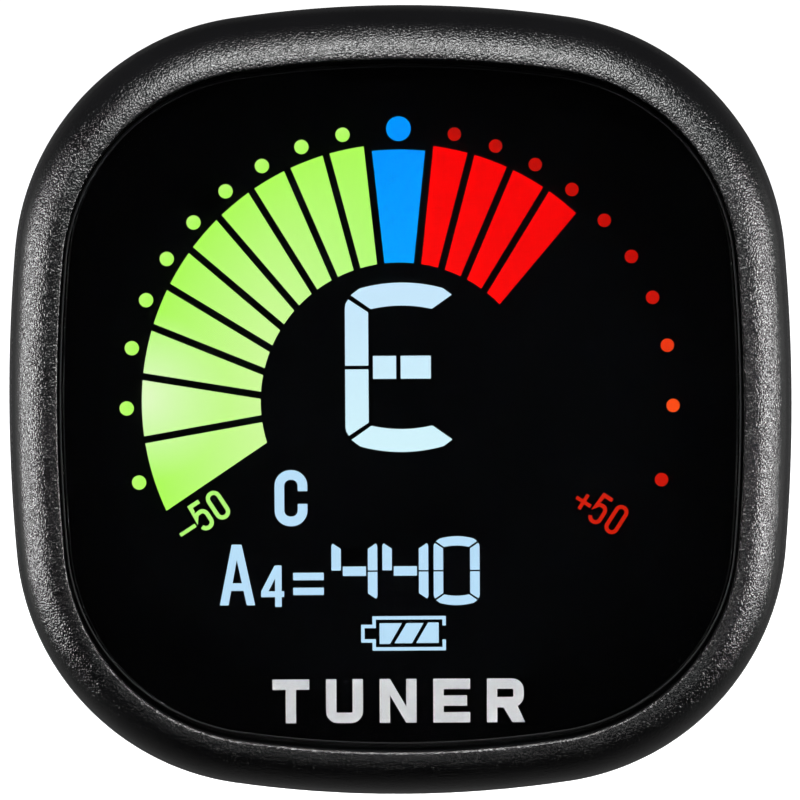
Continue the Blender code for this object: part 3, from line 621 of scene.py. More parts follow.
def lit(name, shapes, finish):
    """A lit area of the display, from shapes about the dial's middle."""
    piece = graphic(name, shapes, FACE_Y, PRINT, DIAL_CENTRE, DISPLAY_SCALE)
    return fit(piece, "head", finish)


def dial():
    """Ten flat segments, all lit, the centre one and the lit sharp ones, with a row of dots outside them."""
    lime = lime_glow()
    red = radial_glow("display_red", linear(254, 4, 3), linear(248, 1, 1))
    blue = radial_glow("display_blue", linear(1, 163, 254), linear(1, 150, 254))
    divisions = list(zip(INNER_TURNS, OUTER_TURNS))
    half = DIVISION_GAP / 2
    for k, (first, last) in enumerate(zip(divisions, divisions[1:])):
        end = -half if k < len(divisions) - 2 else 0
        shape = sector(first, last, DIAL_RADII, (half, end))
        lit(f"segment_flat_{k + 1}", [[(-x, z) for x, z in shape]], lime)
        if k < LIT_RED:
            lit(f"segment_sharp_{k + 1}", [shape], red)
    centre = ((-BLUE_HALF_TURN, -BLUE_HALF_TURN), (BLUE_HALF_TURN, BLUE_HALF_TURN))
    lit("segment_centre", [sector(*centre, (DIAL_RADII[0], BLUE_OUTER), (0, 0))], blue)

    dot_lime = radial_glow("dot_lime", linear(176, 252, 96), linear(190, 252, 114), (17.0, 18.0))
    lit("dot_centre", [circle(0.79, 36, 0, DOT_RADIUS)], blue)
    for k, turn in enumerate(DOT_TURNS):
        x, z = polar(DOT_RADIUS, turn)
        lit(f"dot_flat_{k + 1}", [circle(0.46, 24, -x, z)], dot_lime)
        nearness = max(0.0, 1 - abs(turn - 88) / 22)
        tone = [a + (b - a) * nearness for a, b in zip((191, 12, 4), (255, 88, 27))]
        dot_red = glowing(f"dot_red_{k + 1}", linear(*tone))
        lit(f"dot_sharp_{k + 1}", [circle(0.43, 24, x, z)], dot_red)


def bowed(half, z, rise, steps=12):
    """Points from -half to half at height z, along an arc that rises by rise at its middle."""
    return [(half * t, z + rise * (1 - t ** 2)) for t in [2 * k / steps - 1 for k in range(steps + 1)]]


def seven_segments(figure, x, z, size=1.0):
    """The lit bars of a large curved seven-segment figure, about its middle at x and z."""
    top = [(-3.23, 4.64), *bowed(2.66, 5.07, 0.365), (3.23, 4.64), *reversed(bowed(1.95, 3.74, 0.22))]
    upper_left = [(-2.12, 0.12), (-3.61, 0.12), (-3.61, 3.84), (-3.56, 4.1), (-3.39, 4.37), (-2.12, 3.53)]
    bars = {
        "top": top,
        "bottom": [(u, -v) for u, v in top],
        "upper_left": upper_left,
        "lower_left": [(u, -v) for u, v in upper_left],
        "upper_right": [(-u, v) for u, v in upper_left],
        "lower_right": [(-u, -v) for u, v in upper_left],
        "middle": bar((-1.82, 1.82), (-0.746, 0.746)),
        "middle_left": bar((-1.83, -0.35), (-0.735, 0.735)),
        "middle_right": bar((-0.06, 1.87), (-0.735, 0.735)),
    }
    return [moved(bars[name], x, z, size=size) for name in FIGURES[figure].split()]


FIGURES = {
    "E": "top bottom upper_left lower_left middle_left middle_right",
    "4": "upper_left middle upper_right lower_right",
    "0": "top bottom upper_left lower_left upper_right lower_right",
}


def note(pale):
    """The note, and the small letter below it."""
    white = glowing("display_white", linear(208, 239, 253))
    rise = white.between(white.axis("Z"), 0, 1, DIAL_CENTRE[1] - 3, DIAL_CENTRE[1] + 7.5)
    white.set("Emission Color", white.mix(rise, linear(213, 246, 254), linear(200, 232, 253)))
    lit("note_letter", seven_segments("E", 0.12, 2.175), white)

    letter_c = [(0.74, 0.45), *rounded_rectangle((-0.74, 0.74), (-1.49, 1.49), 0.7, 8), (0.74, -0.37)]
    lit("key_letter", [moved(stroke(letter_c, 0.62), -7.0, -6.18)], pale)


def pitch(pale):
    """The reference pitch: its three figures, and the label before them."""
    figures = []
    for figure, x in (("4", -2.97), ("4", 0.29), ("0", 3.57)):
        figures += seven_segments(figure, x, -10.89, 0.407)
    lit("pitch_figures", figures, pale)

    apex, left_foot, right_foot = (-10.49, -10.13), (-11.03, -13.04), (-9.87, -13.04)

    def leg(foot, z):
        return (foot[0] + (apex[0] - foot[0]) * (z - foot[1]) / (apex[1] - foot[1]), z)

    letter_a = [(-11.59, -13.04), (-10.81, -9.14), (-10.18, -9.14), (-9.33, -13.04), right_foot]
    letter_a += [leg(right_foot, -12.11), leg(left_foot, -12.11), left_foot]
    counter = [apex, leg(right_foot, -11.62), leg(left_foot, -11.62)]
    four = [(-8.07, -10.49), (-7.63, -10.49), (-7.63, -12.15), (-7.47, -12.15), (-7.47, -12.52),
            (-7.63, -12.52), (-7.63, -13.15), (-8.05, -13.15), (-8.05, -12.52), (-8.94, -12.52),
            (-8.94, -12.15)]
    four_counter = [(-8.05, -11.34), (-8.47, -12.15), (-8.05, -12.15)]
    equals = [bar((-6.89, -4.93), z) for z in ((-11.45, -10.97), (-12.40, -11.93))]
    lit("pitch_label", [letter_a, counter, four, four_counter, *equals], pale)


def battery_sign(pale):
    """A cell's outline with three slanted bars of charge."""
    case = [(2.75, -14.40), (2.75, -13.90), (-1.73, -13.90), (-1.73, -14.44), (-2.45, -14.44),
            (-2.45, -15.37), (-1.73, -15.37), (-1.73, -15.89), (2.75, -15.89), (2.75, -15.30)]
    charge = [[(-1.38, -14.24), (0.05, -14.24), (-0.72, -15.57), (-1.38, -15.57)],
              [(0.35, -14.24), (1.43, -14.24), (0.69, -15.53), (-0.43, -15.53)],
              [(1.73, -14.21), (2.40, -14.21), (2.40, -15.52), (0.96, -15.52)]]
    lit("battery_sign", [stroke(case, 0.22), *charge], pale)


def small_figure(figure, height=2.01, width=1.01, thick=0.27):
    """A small round-cornered 5 or 0 about its own middle."""
    h, w = height / 2 - thick / 2, width / 2 - thick / 2
    if figure == "0":
        rings = []
        for grow in (thick / 2, -thick / 2):
            radius = w + grow
            rings.append(arc(0, h - w, radius, 0, 180, 12) + arc(0, w - h, radius, 180, 360, 12))
        return rings
    bowl = w * 0.95
    line = [(w, h), (-w * 0.86, h), (-w, 0.06), (-w * 0.62, 0.24)]
    line += [*arc(w - bowl, 0.27 - bowl, bowl, 80, 0, 7), *arc(w - bowl, bowl - h, bowl, 0, -90, 7)]
    line += arc(bowl - w, bowl - h, bowl, -90, -165, 6)
    return [stroke(line, thick)]


def range_marks():
    """The scale's end marks, minus and plus fifty, turned to follow the dial."""
    turn = math.radians(33)
    lime = glowing("mark_lime", linear(178, 244, 118))
    marks = [moved(bar((-0.59, 0.59), (-0.12, 0.12)), -13.60, -8.20, turn)]
    for figure, x, z in (("5", -12.72, -7.28), ("0", -11.67, -6.60)):
        marks += [moved(shape, x, z, turn) for shape in small_figure(figure)]
    lit("mark_minus_fifty", marks, lime)

    red = glowing("mark_red", linear(200, 30, 10))
    long, thin = 0.545, 0.115
    end = [(thin, thin), (thin, long), (-thin, long)]
    plus = [point for k in range(4) for point in moved(end, 0, 0, k * math.pi / 2)]
    marks = [moved(plus, 11.71, -6.52, -turn)]
    for figure, x, z in (("5", 12.78, -7.01), ("0", 13.81, -7.67)):
        marks += [moved(shape, x, z, -turn) for shape in small_figure(figure, 2.05, 0.93, 0.25)]
    lit("mark_plus_fifty", marks, red)


def mirrored(half):
    """An outline from its right half, which starts at the top and ends at the bottom."""
    return half + [(-x, z) for x, z in reversed(half)]


def word_mark():
    """A plain word in silver print on the back of the lens."""
    height, width, thick, pitch = 2.8, 2.35, 0.66, 3.42
    half = thick / 2
    h, w, waist, corner, step = height / 2 - half, width / 2 - half, -0.12, 0.42, 1.05
    top, bottom, left, right = height / 2, -height / 2, -width / 2, width / 2
    n_half = [(left, top), (left + thick, top), (right - thick, bottom + step), (right - thick, top),
              (right, top)]
    e_half = [(left, top), (right, top), (right, top - thick), (left + thick, top - thick),
              (left + thick, half), (right - 0.2, half)]
    outer_bowl = [*arc(w - corner, h - corner, corner + half, 90, 0, 8),
                  *arc(w - corner, waist + corner, corner + half, 0, -62, 6)]
    inner_bowl = [*arc(w - corner, h - corner, corner - half, 90, 0, 5),
                  *arc(w - corner, waist + corner, corner - half, 0, -90, 5)]
    letters = {
        "T": [mirrored([(right, top), (right, top - thick), (half, top - thick), (half, bottom)])],
        "U": [stroke(mirrored([(w, top), *arc(w - corner, corner - h, corner, 0, -90, 8)])[::-1], thick)],
        "N": [n_half + [(-x, -z) for x, z in n_half]],
        "E": [e_half + [(x, -z) for x, z in reversed(e_half)]],
        "R": [[(left, bottom), (left, top), *outer_bowl, (right + 0.08, bottom), (right - 0.72, bottom),
               (-0.12, waist - half), (left + thick, waist - half), (left + thick, bottom)],
              [(left + thick, h - half), *inner_bowl, (left + thick, waist + half)]],
    }
    silver = Finish("print_silver", 0.5).tint((0.93, 0.93, 0.94), 0.06, 0.1)
    for k, letter in enumerate("TUNER"):
        shapes = [moved(shape, (k - 2) * pitch - 0.25, -18.98) for shape in letters[letter]]
        piece = graphic(f"word_{k + 1}_{letter.lower()}", shapes, MASK_Y - 0.03, PRINT)
        fit(piece, "head", silver)


# ---- head: rear cover and socket

USB_HALF = (4.47, 1.6)              # half of its width and half of its thickness
USB_AXIS = 9.5                      # behind the rim
USB_REACH = (16.2, 23.3)            # below the head's middle, from its back to its mouth
USB_PINS = 12


def cover_section():
    """The rear shell's section as (inset, depth), from the middle of its rear to its floor."""
    start = PARTING + 0.2
    outer, inner = [], []
    for k in range(19):
        a = math.pi / 2 * k / 18
        turn_in = 4.38 * (1 - math.cos(a))
        outer.append((0.12 + turn_in, start + (REAR - start) * math.sin(a)))
        inner.append((1.62 + turn_in, start + (FLOOR - start) * math.sin(a)))
    edge = [(0.42, start), (0.2, start + 0.05), (0.13, start + 0.2)]
    return [*reversed(outer[1:]), *reversed(edge), *inner]


def usb_loop(grow, z):
    """The socket's stadium outline, grown by grow, at height z."""
    radius, flat = USB_HALF[1] + grow, USB_HALF[0] - USB_HALF[1]
    right, left = arc(flat, USB_AXIS, radius, 90, -90, 14), arc(-flat, USB_AXIS, radius, 270, 90, 14)
    return [(x, depth(d), z) for x, d in right + left]


def button_places():
    """Each button's name and place from the head's middle."""
    across, up = 14.5, 5.5
    return [("power", -across, up), ("mode", -across, -up), ("up", across, up), ("down", across, -up)]


def rear_cover():
    """The shell with its pillars, and its openings with worn-soft edges."""
    shell = head_shape("rear_shell", cover_section())
    added, cut = [], []
    for number, (x, z) in enumerate(corner_places(), 1):
        added.append(rod(f"pillar_{number}", "Y", at_head(x, z), 2.0, (8.55, FLOOR + 0.5), 40))
        well = [(0.8, 7.5), (0.8, 10.6), (1.55, 10.6), (1.55, REAR - 0.2), (1.95, REAR + 0.2)]
        cut.append(turned(f"well_{number}", well, "Y", at_head(x, z), 40))
    for name, x, z in button_places():
        hole = [(2.45, FLOOR - 1), (2.45, REAR - 0.35), (3.0, REAR - 0.22), (3.35, REAR + 0.1)]
        cut.append(turned(f"{name}_hole", hole, "Y", at_head(x, z), 56))
    cut.append(rod("swivel_bore", "Y", at_head(), 3.2, (FLOOR - 1, REAR + 1)))
    ring = [(8.9, REAR - 0.22), (9.6, REAR - 0.22), (9.75, REAR + 0.1), (8.75, REAR + 0.1)]
    cut.append(turned("swivel_ring", ring, "Y", at_head(), 96, closed=True))
    for name, upper, lower in (("usb_slot", (0.25, HEAD_Z - USB_REACH[0] - 3), (0.25, BEZEL_LOW.z - 2)),
                               ("usb_dish", (0.25, HEAD_Z - 22.6), (1.1, HEAD_Z - 25.4))):
        cut.append(stack_loops(name, [usb_loop(*upper), usb_loop(*lower)]))
    carve(shell, added, cut, 30)
    black = moulded("cover_black_texture", (0.018, 0.018, 0.0185), 0.46, 0.10, 0.03)
    fit(shell, "head", black, ["rear_cover"])


def usb_socket():
    """The socket's pressed shell, the tongue in it, and a row of contacts on each of the tongue's faces."""
    back, mouth, wall = HEAD_Z - USB_REACH[0], HEAD_Z - USB_REACH[1], 0.3
    rings = [(-0.05, back), (0, back - 0.1), (0, mouth + 0.12), (-0.08, mouth), (0.06 - wall, mouth),
             (-wall, mouth + 0.15), (-wall, back - wall)]
    shell = stack_loops("usb_shell", [usb_loop(grow, z) for grow, z in rings])
    fit(shell, "head", metal("socket_nickel", (0.62, 0.62, 0.63), 0.25), ["usb_socket"])

    half, lower = 3.3, mouth + 0.9
    blade = rounded_rectangle((-half, half), (lower, back - wall - 0.1), 0.3, 4)
    tongue = prism("usb_blade", blade, "Y", (depth(USB_AXIS - 0.35), depth(USB_AXIS + 0.35)))
    round_edges(tongue, 0.06, 2)
    fit(tongue, "head", satin("tongue_black", (0.02, 0.02, 0.021), 0.45), ["usb_tongue"])
    gold = metal("contact_gold", (0.85, 0.62, 0.25), 0.25)
    for side, face in (("front", depth(USB_AXIS - 0.37)), ("rear", depth(USB_AXIS + 0.37))):
        strips = []
        for k in range(USB_PINS):
            x = (k - (USB_PINS - 1) / 2) * 0.5
            strips.append(block(f"strip_{k}", (x - 0.13, x + 0.13), (face - 0.02, face + 0.02),
                                (lower + 0.25, lower + 2.6)))
        strips[0].name = f"usb_contacts_{side}"
        fit(carve(strips[0], strips[1:], []), "head", gold)


def star_recess(at, axis, span, radius):
    """A six-lobed driver recess to cut out of a screw head."""
    outline = []
    for k in range(48):
        a = 2 * math.pi * k / 48
        reach = radius * (0.86 + 0.14 * math.cos(6 * a))
        outline.append((reach * math.cos(a), reach * math.sin(a)))
    return prism("recess", outline, axis, span, at)


def case_screws():
    """Four screws with a threaded shank and a star recess in a rounded head."""
    steel = metal("case_screw_zinc", (0.30, 0.30, 0.31), 0.34, 0.02)
    seat, top = 10.7, 11.6
    section = [(0.3, 4.6)]
    for k in range(9):
        base = 4.7 + k * 0.62
        section += [(0.52, base), (0.7, base + 0.2), (0.7, base + 0.26), (0.52, base + 0.46)]
    section += [(0.6, seat - 0.2), (0.6, seat), (1.3, seat), (1.35, seat + 0.1), (1.35, top - 0.3),
                (1.2, top - 0.1), (0.95, top)]
    for number, (x, z) in enumerate(corner_places(), 1):
        at = at_head(x, z)
        screw = turned(f"case_screw_turned_{number}", section, "Y", at, 40)
        carve(screw, [], [star_recess(at, "Y", (top - 0.55, top + 0.3), 0.68)], 30)
        fit(screw, "head", steel, [f"case_screw_{number}"])


def button_signs():
    """Each button's raised sign, as flat outlines about the button's middle."""
    ring = stroke(arc(0, -0.05, 0.78, 125, 415, 24), 0.2)
    stem = bar((-0.1, 0.1), (0.15, 1.02))
    lines = [bar((-0.75, 0.75), (z - 0.1, z + 0.1)) for z in (-0.5, 0.0, 0.5)]
    up = stroke([(-0.72, -0.35), (0, 0.4), (0.72, -0.35)], 0.22)
    return {"power": [ring, stem], "mode": lines, "up": [up], "down": [[(-x, -z) for x, z in up]]}


def buttons():
    """Soft dished caps over a flange, with raised pale signs."""
    rubber = moulded("button_rubber", (0.034, 0.034, 0.036), 0.62, 0.06, 0.008)
    paint = satin("button_sign_grey", (0.55, 0.55, 0.56), 0.55, size=0.3)
    plunger = satin("plunger_grey", (0.35, 0.35, 0.36), 0.4)
    signs = button_signs()
    top, under = 13.35, 11.3
    cap = [(1.2, 10.35), (1.2, 10.75), (2.9, 10.75), (3.0, 10.85), (3.0, under - 0.1), (2.9, under),
           (2.35, under), (2.3, under + 0.1), *arc(1.95, top - 0.35, 0.35, 0, 90, 6),
           (1.7, top - 0.03), (1.4, top - 0.1), (0.8, top - 0.16), (0.3, top - 0.18)]
    stem = [(0.85, 9.35), (0.9, 9.42), (0.9, 10.18), (0.82, 10.25)]
    for name, x, z in button_places():
        at, body = at_head(x, z), f"{name}_button"
        fit(turned(f"{name}_cap", cap, "Y", at, 56), body, rubber, [f"{name}_button"])
        shapes = [[(-u, v) for u, v in shape] for shape in signs[name]]
        sign = graphic(f"{name}_sign", shapes, depth(top - 0.13), 0.16, (x, HEAD_Z + z))
        fit(sign, body, paint)
        fit(turned(f"{name}_stem", stem, "Y", at, 32), body, plunger, [f"{name}_plunger"])


# ---- swivel, arm and hinges

KNUCKLE = 3.2                       # radius of the hinges' rounded ends
EAR_X = (3.1, 5.2)
HINGE_BORE = 1.07
GRIP_NOTCHES = 24


def joint_black(name):
    return moulded(name, (0.019, 0.019, 0.0195), 0.4, 0.12, 0.010)


def swivel_base():
    """The turning disc with its hub, ribs and the two ears of the tilt hinge."""
    low, high = 13.4, 15.2
    section = [(3.0, 10.4), (3.1, 10.5), (3.1, low), (8.3, low), (8.5, low + 0.2)]
    section += arc(7.8, high - 0.7, 0.7, 0, 90, 8)
    disc = turned("swivel_disc", section, "Y", at_head(), 128)
    ears = [lug(f"ear_{side}", TILT_Y, HEAD_Z, depth(high - 0.6), KNUCKLE, x, edge=0.3)
            for side, x in both_sides(EAR_X)]
    cut = [rod("hub_bore", "Y", at_head(), 1.0, (9, 14.4), 32),
           rod("ear_bore", "X", (0, TILT_Y, HEAD_Z), HINGE_BORE, (-7, 7), 48)]
    for k, (x, z) in enumerate(circle(8.75, GRIP_NOTCHES)):
        cut.append(rod(f"grip_{k}", "Y", at_head(x, z), 0.55, (low + 0.45, high + 1), 20))
    fit(carve(disc, ears, cut), "swivel_base", joint_black("swivel_black"), ["swivel_base"])


def arm():
    """The link between the hinges: rounded cheeks with a shallow panel in its top and underside."""
    rounded = arc(CLIP_HINGE_Y, HEAD_Z, KNUCKLE, 90, -90, 28)
    rounded += [(2 * TILT_Y - y, z) for y, z in arc(TILT_Y, HEAD_Z, KNUCKLE, -90, 90, 28)]
    link = prism("arm_link", rounded, "X", (-3.0, 3.0))
    round_edges(link, 0.35, 4, 60)
    cut = [rod(f"arm_bore_{n}", "X", (0, y, HEAD_Z), HINGE_BORE, (-4, 4), 48)
           for n, y in enumerate((CLIP_HINGE_Y, TILT_Y), 1)]
    panel_outline = rounded_rectangle((-1.8, 1.8), (TILT_Y + 1.2, CLIP_HINGE_Y - 1.2), 0.7)
    for side, face in (("upper", HEAD_Z + KNUCKLE), ("lower", HEAD_Z - KNUCKLE)):
        loops = [[(u, v, face + s) for u, v in panel_outline] for s in (-0.35, 0.35)]
        cut.append(stack_loops(f"panel_{side}", loops))
    fit(carve(link, [], cut), "arm", joint_black("arm_black"), ["arm"])


def hinge_hardware(key, names, y, body):
    """A screw with a lobed recess in a domed head, and a chamfered hexagon nut."""
    steel = metal(f"{key}_hardware_blackened", (0.04, 0.04, 0.041), 0.42, 0.03)
    at = (0, y, HEAD_Z)
    seat = EAR_X[1] + 0.02
    section = [(1.3, -seat - 1.15), (1.75, -seat - 1.0), (1.95, -seat - 0.75), (2.0, -seat - 0.45),
               (2.0, -seat), (1.0, -seat), (1.0, 5.0)]
    for k in range(6):
        base = 5.1 + k * 0.3
        section += [(1.0, base), (0.88, base + 0.15)]
    section += [(1.0, 6.85), (0.85, 6.98)]
    screw = turned(f"{key}_hinge_screw", section, "X", at, 48)
    carve(screw, [], [star_recess(at, "X", (-seat - 1.6, -seat - 0.45), 0.95)], 30)
    fit(screw, body, steel, [names[0]])

    low, high = seat, EAR_X[1] + 1.5
    nut = rod(f"{key}_hex_nut", "X", at, 2.1, (low, high), 6)
    chamfer = [(1.78, low - 0.001), (2.15, low + 0.22), (2.15, high - 0.22), (1.78, high + 0.001)]
    boolean(nut, "INTERSECT", [turned("chamfer", chamfer, "X", at, 48)])
    boolean(nut, "DIFFERENCE", [rod("nut_bore", "X", at, 1.04, (4, 8), 48)])
    nut.data.shade_flat()
    fit(nut, body, steel, [names[1]])


# ---- clip

PLATE_HALF = 10.0
PLATE_Z = (-13.0, 28.0)
FIXED_PLATE_Y = (-4.0, -1.8)
MOVING_PLATE_Y = (6.8, 9.0)
LEVER_BEND_Z = 17.1
LEVER_TOP = (11.6, 28.8)
LEVER_LEAN = math.atan2(LEVER_TOP[0] - MOVING_PLATE_Y[0], LEVER_TOP[1] - LEVER_BEND_Z)
PIVOT_RADIUS = 2.4
PLATE_CORNER = 3.0
OVERLAP = 0.6                       # how far lugs and ribs reach into a plate


def clip_black(name):
    return moulded(name, (0.018, 0.018, 0.0185), 0.44, 0.11, 0.018)


def ridges(start, surface):
    """Five finger ridges, upwards from a height, on the face whose world Y is surface(height)."""
    heights = [start + 1.6 * k for k in range(5)]
    rods = [rod(f"ridge_{k}", "X", (0, surface(z), z), 0.42, (-7.5, 7.5), 20) for k, z in enumerate(heights)]
    return [round_edges(ridge, 0.25) for ridge in rods]


def fixed_jaw():
    """The clip's fixed side: a rounded plate with finger ridges, ears, lugs and the stop rib."""
    outline = rounded_rectangle((-PLATE_HALF, PLATE_HALF), PLATE_Z, PLATE_CORNER)
    plate = round_edges(prism("fixed_plate", outline, "Y", FIXED_PLATE_Y), 0.55, 4)
    front, back = FIXED_PLATE_Y[0] + OVERLAP, FIXED_PLATE_Y[1] - OVERLAP
    rib = block("stop_rib", (-4, 4), (back, MOVING_PLATE_Y[0] - 0.1), (11.2, 12.8))
    added = [round_edges(rib, 0.28, 3, 60)]
    added += [lug(f"ear_{side}", CLIP_HINGE_Y, HEAD_Z, front, KNUCKLE, x) for side, x in both_sides(EAR_X)]
    added += [lug(f"lug_{side}", PIVOT_Y, PIVOT_Z, back, PIVOT_RADIUS, x)
              for side, x in both_sides((6.5, 8.5))]
    added += ridges(19.2, lambda z: FIXED_PLATE_Y[0] + 0.12)
    cut = [rod("ear_bore", "X", (0, CLIP_HINGE_Y, HEAD_Z), HINGE_BORE, (-7, 7), 48),
           rod("lug_bore", "X", (0, PIVOT_Y, PIVOT_Z), HINGE_BORE, (-9.5, 9.5), 48)]
    fit(carve(plate, added, cut), "fixed_clip", clip_black("fixed_jaw_black"), ["fixed_jaw"])


def lever_inner(z):
    """World Y of the moving jaw's inner face at height z."""
    return MOVING_PLATE_Y[0] + max(0, z - LEVER_BEND_Z) * math.tan(LEVER_LEAN)


def moving_jaw():
    """The clip's sprung side: a plate that bends outwards into a ridged finger lever."""
    near, far = MOVING_PLATE_Y
    thick = far - near
    bend = 6.0
    reach = bend * math.tan(LEVER_LEAN / 2)
    inner, outer = [], []
    for k in range(9):
        a = LEVER_LEAN * k / 8
        z = LEVER_BEND_Z - reach + bend * math.sin(a)
        y = near + bend * (1 - math.cos(a))
        inner.append((y, z))
        outer.append((y + thick * math.cos(a), z - thick * math.sin(a)))
    top_outer = (LEVER_TOP[0] + thick * math.cos(LEVER_LEAN), LEVER_TOP[1] - thick * math.sin(LEVER_LEAN))
    profile = [(near, PLATE_Z[0]), *inner, LEVER_TOP, top_outer, *reversed(outer), (far, PLATE_Z[0])]
    jaw = prism("moving_plate", profile, "X", (-PLATE_HALF, PLATE_HALF))
    outline = rounded_rectangle((-PLATE_HALF, PLATE_HALF), (PLATE_Z[0], LEVER_TOP[1]), PLATE_CORNER)
    boolean(jaw, "INTERSECT", [prism("rounding", outline, "Y", (0, 30))])
    round_edges(jaw, 0.5, 4)
    added = [lug(f"lug_{side}", PIVOT_Y, PIVOT_Z, near + OVERLAP, PIVOT_RADIUS, x, 0.2)
             for side, x in both_sides((4.2, 6.3))]
    added += ridges(19.6, lambda z: lever_inner(z) + thick / math.cos(LEVER_LEAN) - 0.14)
    carve(jaw, added, [rod("bore", "X", (0, PIVOT_Y, PIVOT_Z), HINGE_BORE, (-7, 7), 48)])
    fit(jaw, "moving_jaw", clip_black("moving_jaw_black"), ["moving_jaw"])


def pads():
    """Soft rubber pads, bonded to the plates, with rounded edges and cross grooves."""
    rubber = moulded("pad_rubber", (0.05, 0.05, 0.052), 0.78, 0.09, 0.012, 0.15)
    outline = rounded_rectangle((-8.0, 8.0), (-10.0, 10.0), 2.0)
    for name, y, face, body in (("fixed_pad", (-1.9, 0.0), 0.0, "fixed_clip"),
                                ("moving_pad", (5.0, 6.9), 5.0, "moving_jaw")):
        pad = round_edges(prism(f"{name}_rubber", outline, "Y", y), 0.3, 4)
        grooves = [rod(f"groove_{k}", "X", (0, face, (k - 4) * 2.1), 0.34, (-6.9, 6.9), 16) for k in range(9)]
        carve(pad, [], [round_edges(groove, 0.2, 2) for groove in grooves], 35)
        fit(pad, body, rubber, [name])


def pin_and_spring():
    """The clip's pin and torsion spring. The coil and one leg stay, the other leg follows the lever."""
    steel = metal("pin_blackened", (0.04, 0.04, 0.041), 0.4, 0.03)
    end = 8.6
    section = [(1.2, -end - 0.62), (1.42, -end - 0.5), (1.5, -end - 0.3), (1.5, -end),
               (1.0, -end), (1.0, end + 0.45), (0.85, end + 0.6)]
    fit(turned("pin", section, "X", (0, PIVOT_Y, PIVOT_Z), 56), "fixed_clip", steel, ["clip_pin"])

    wire, coil, half, leg_z = 0.35, 1.75, 3.5, 23.0
    bright = metal("spring_wire_bright", (0.6, 0.6, 0.61), 0.24, 0.02)
    turns, sides = 5.5, 32
    steps = int(turns * sides)
    winding = arc(PIVOT_Y, PIVOT_Z, coil, 180, 180 + 360 * turns, steps)
    route = [(half * (2 * k / steps - 1), y, z) for k, (y, z) in enumerate(winding)]
    fixed_y = FIXED_PLATE_Y[1] + wire
    fixed_leg = [(-half, fixed_y, leg_z), (-half, fixed_y, leg_z - 0.6),
                 (-half, PIVOT_Y - coil - 0.15, PIVOT_Z + 1.2)]
    fit(tube("spring_coil", fixed_leg + route, wire), "fixed_clip", bright, ["clip_spring"])
    # the hook lies along the coil's last turn, so that the leg still meets it when the lever is pressed
    hook = [(half, y, z) for y, z in arc(PIVOT_Y, PIVOT_Z, coil, -45, 0, 6)]
    lever_y = lever_inner(leg_z) - wire
    moving_leg = [*hook, (half, PIVOT_Y + coil + 0.15, PIVOT_Z + 1.2),
                  (half, lever_y - 0.2 * wire, leg_z - 0.6), (half, lever_y, leg_z)]
    fit(tube("spring_moving_leg", moving_leg, wire), "moving_jaw", bright)


# ---- the pieces kept from the frame

def kept_pieces():
    """Materials for the pieces inside the head and the swivel that keep their own shapes."""
    board = Finish("board_green_mask", 0.35).tint((0.02, 0.15, 0.06), 0.25, 0.8)
    board.bump(board.add("TexVoronoi", {"Scale": 1 / (1.1 * MM), "Vector": board.place}, "Distance"), 0.02)
    zebra = Finish("zebra_striped_rubber", 0.7)
    stripes = zebra.add("TexWave", {"Scale": 1 / (0.6 * MM), "Vector": zebra.place}, "Fac")
    zebra.set("Base Color", zebra.mix(stripes, (0.05, 0.05, 0.05), (0.6, 0.6, 0.62)))
    glass = satin("lcd_dark_glass", (0.0012, 0.0013, 0.0016), 0.3, spread=0.3, size=6, height=0.0)
    finishes = {
        "lens_tape": satin("tape_foam", (0.02, 0.02, 0.02), 0.85, size=0.2, height=0.02),
        "lcd_cell": glass.set("Specular IOR Level", 0.02),
        "lcd_frame": satin("frame_white", (0.75, 0.76, 0.76), 0.5),
        "light_guide": satin("guide_frosted_acrylic", (0.8, 0.82, 0.83), 0.2),
        "reflector_sheet": satin("reflector_foil", (0.85, 0.86, 0.88), 0.25, 0.6),
        "zebra_strip": zebra,
        "backlight_led_1 backlight_led_2 backlight_led_3": satin("led_phosphor", (0.9, 0.82, 0.35), 0.35),
        "main_pcb": board,
        "mcu_chip": satin("chip_epoxy", (0.03, 0.03, 0.032), 0.55, size=0.1, height=0.01),
        "battery": satin("battery_pouch", (0.55, 0.57, 0.6), 0.32, 0.7, size=3, height=0.06),
        "battery_connector": satin("connector_nylon", (0.8, 0.79, 0.74), 0.45),
        "battery_lead_red": satin("lead_red_pvc", (0.6, 0.02, 0.02), 0.4),
        "battery_lead_black": satin("lead_black_pvc", (0.02, 0.02, 0.02), 0.4),
        "piezo_plate": metal("piezo_brass", (0.75, 0.55, 0.2), 0.28),
        "piezo_ceramic": satin("piezo_silvered", (0.82, 0.8, 0.76), 0.4, 0.3),
        "friction_washer": satin("washer_nylon", (0.7, 0.7, 0.66), 0.45),
        "wave_spring retaining_washer swivel_screw": metal("swivel_steel", (0.5, 0.5, 0.51), 0.3),
        "power_switch mode_switch up_switch down_switch": satin("switch_black", (0.025, 0.025, 0.027), 0.45),
    }
    for names, finish in finishes.items():
        for name in names.split():
            wear(frame["nodes"][name], finish)


# ---- stage

LIGHT_DISTANCE = 800


def panel(name, azimuth, elevation, size, power):
    """A rectangular light aimed at the head, placed by its turn from the front and its height."""
    light = bpy.data.lights.new(name, "AREA")
    light.shape = "RECTANGLE"
    light.size, light.size_y = [side * MM for side in size]
    light.energy = power
    lamp = new_object(name, light)
    a, e = math.radians(azimuth), math.radians(elevation)
    away = Vector((math.sin(a) * math.cos(e), -math.cos(a) * math.cos(e), math.sin(e)))
    lamp.location = (Vector(at_head()) + away * LIGHT_DISTANCE) * MM
    lamp.rotation_euler = away.to_track_quat("Z", "Y").to_euler()
    lamp.visible_camera = False


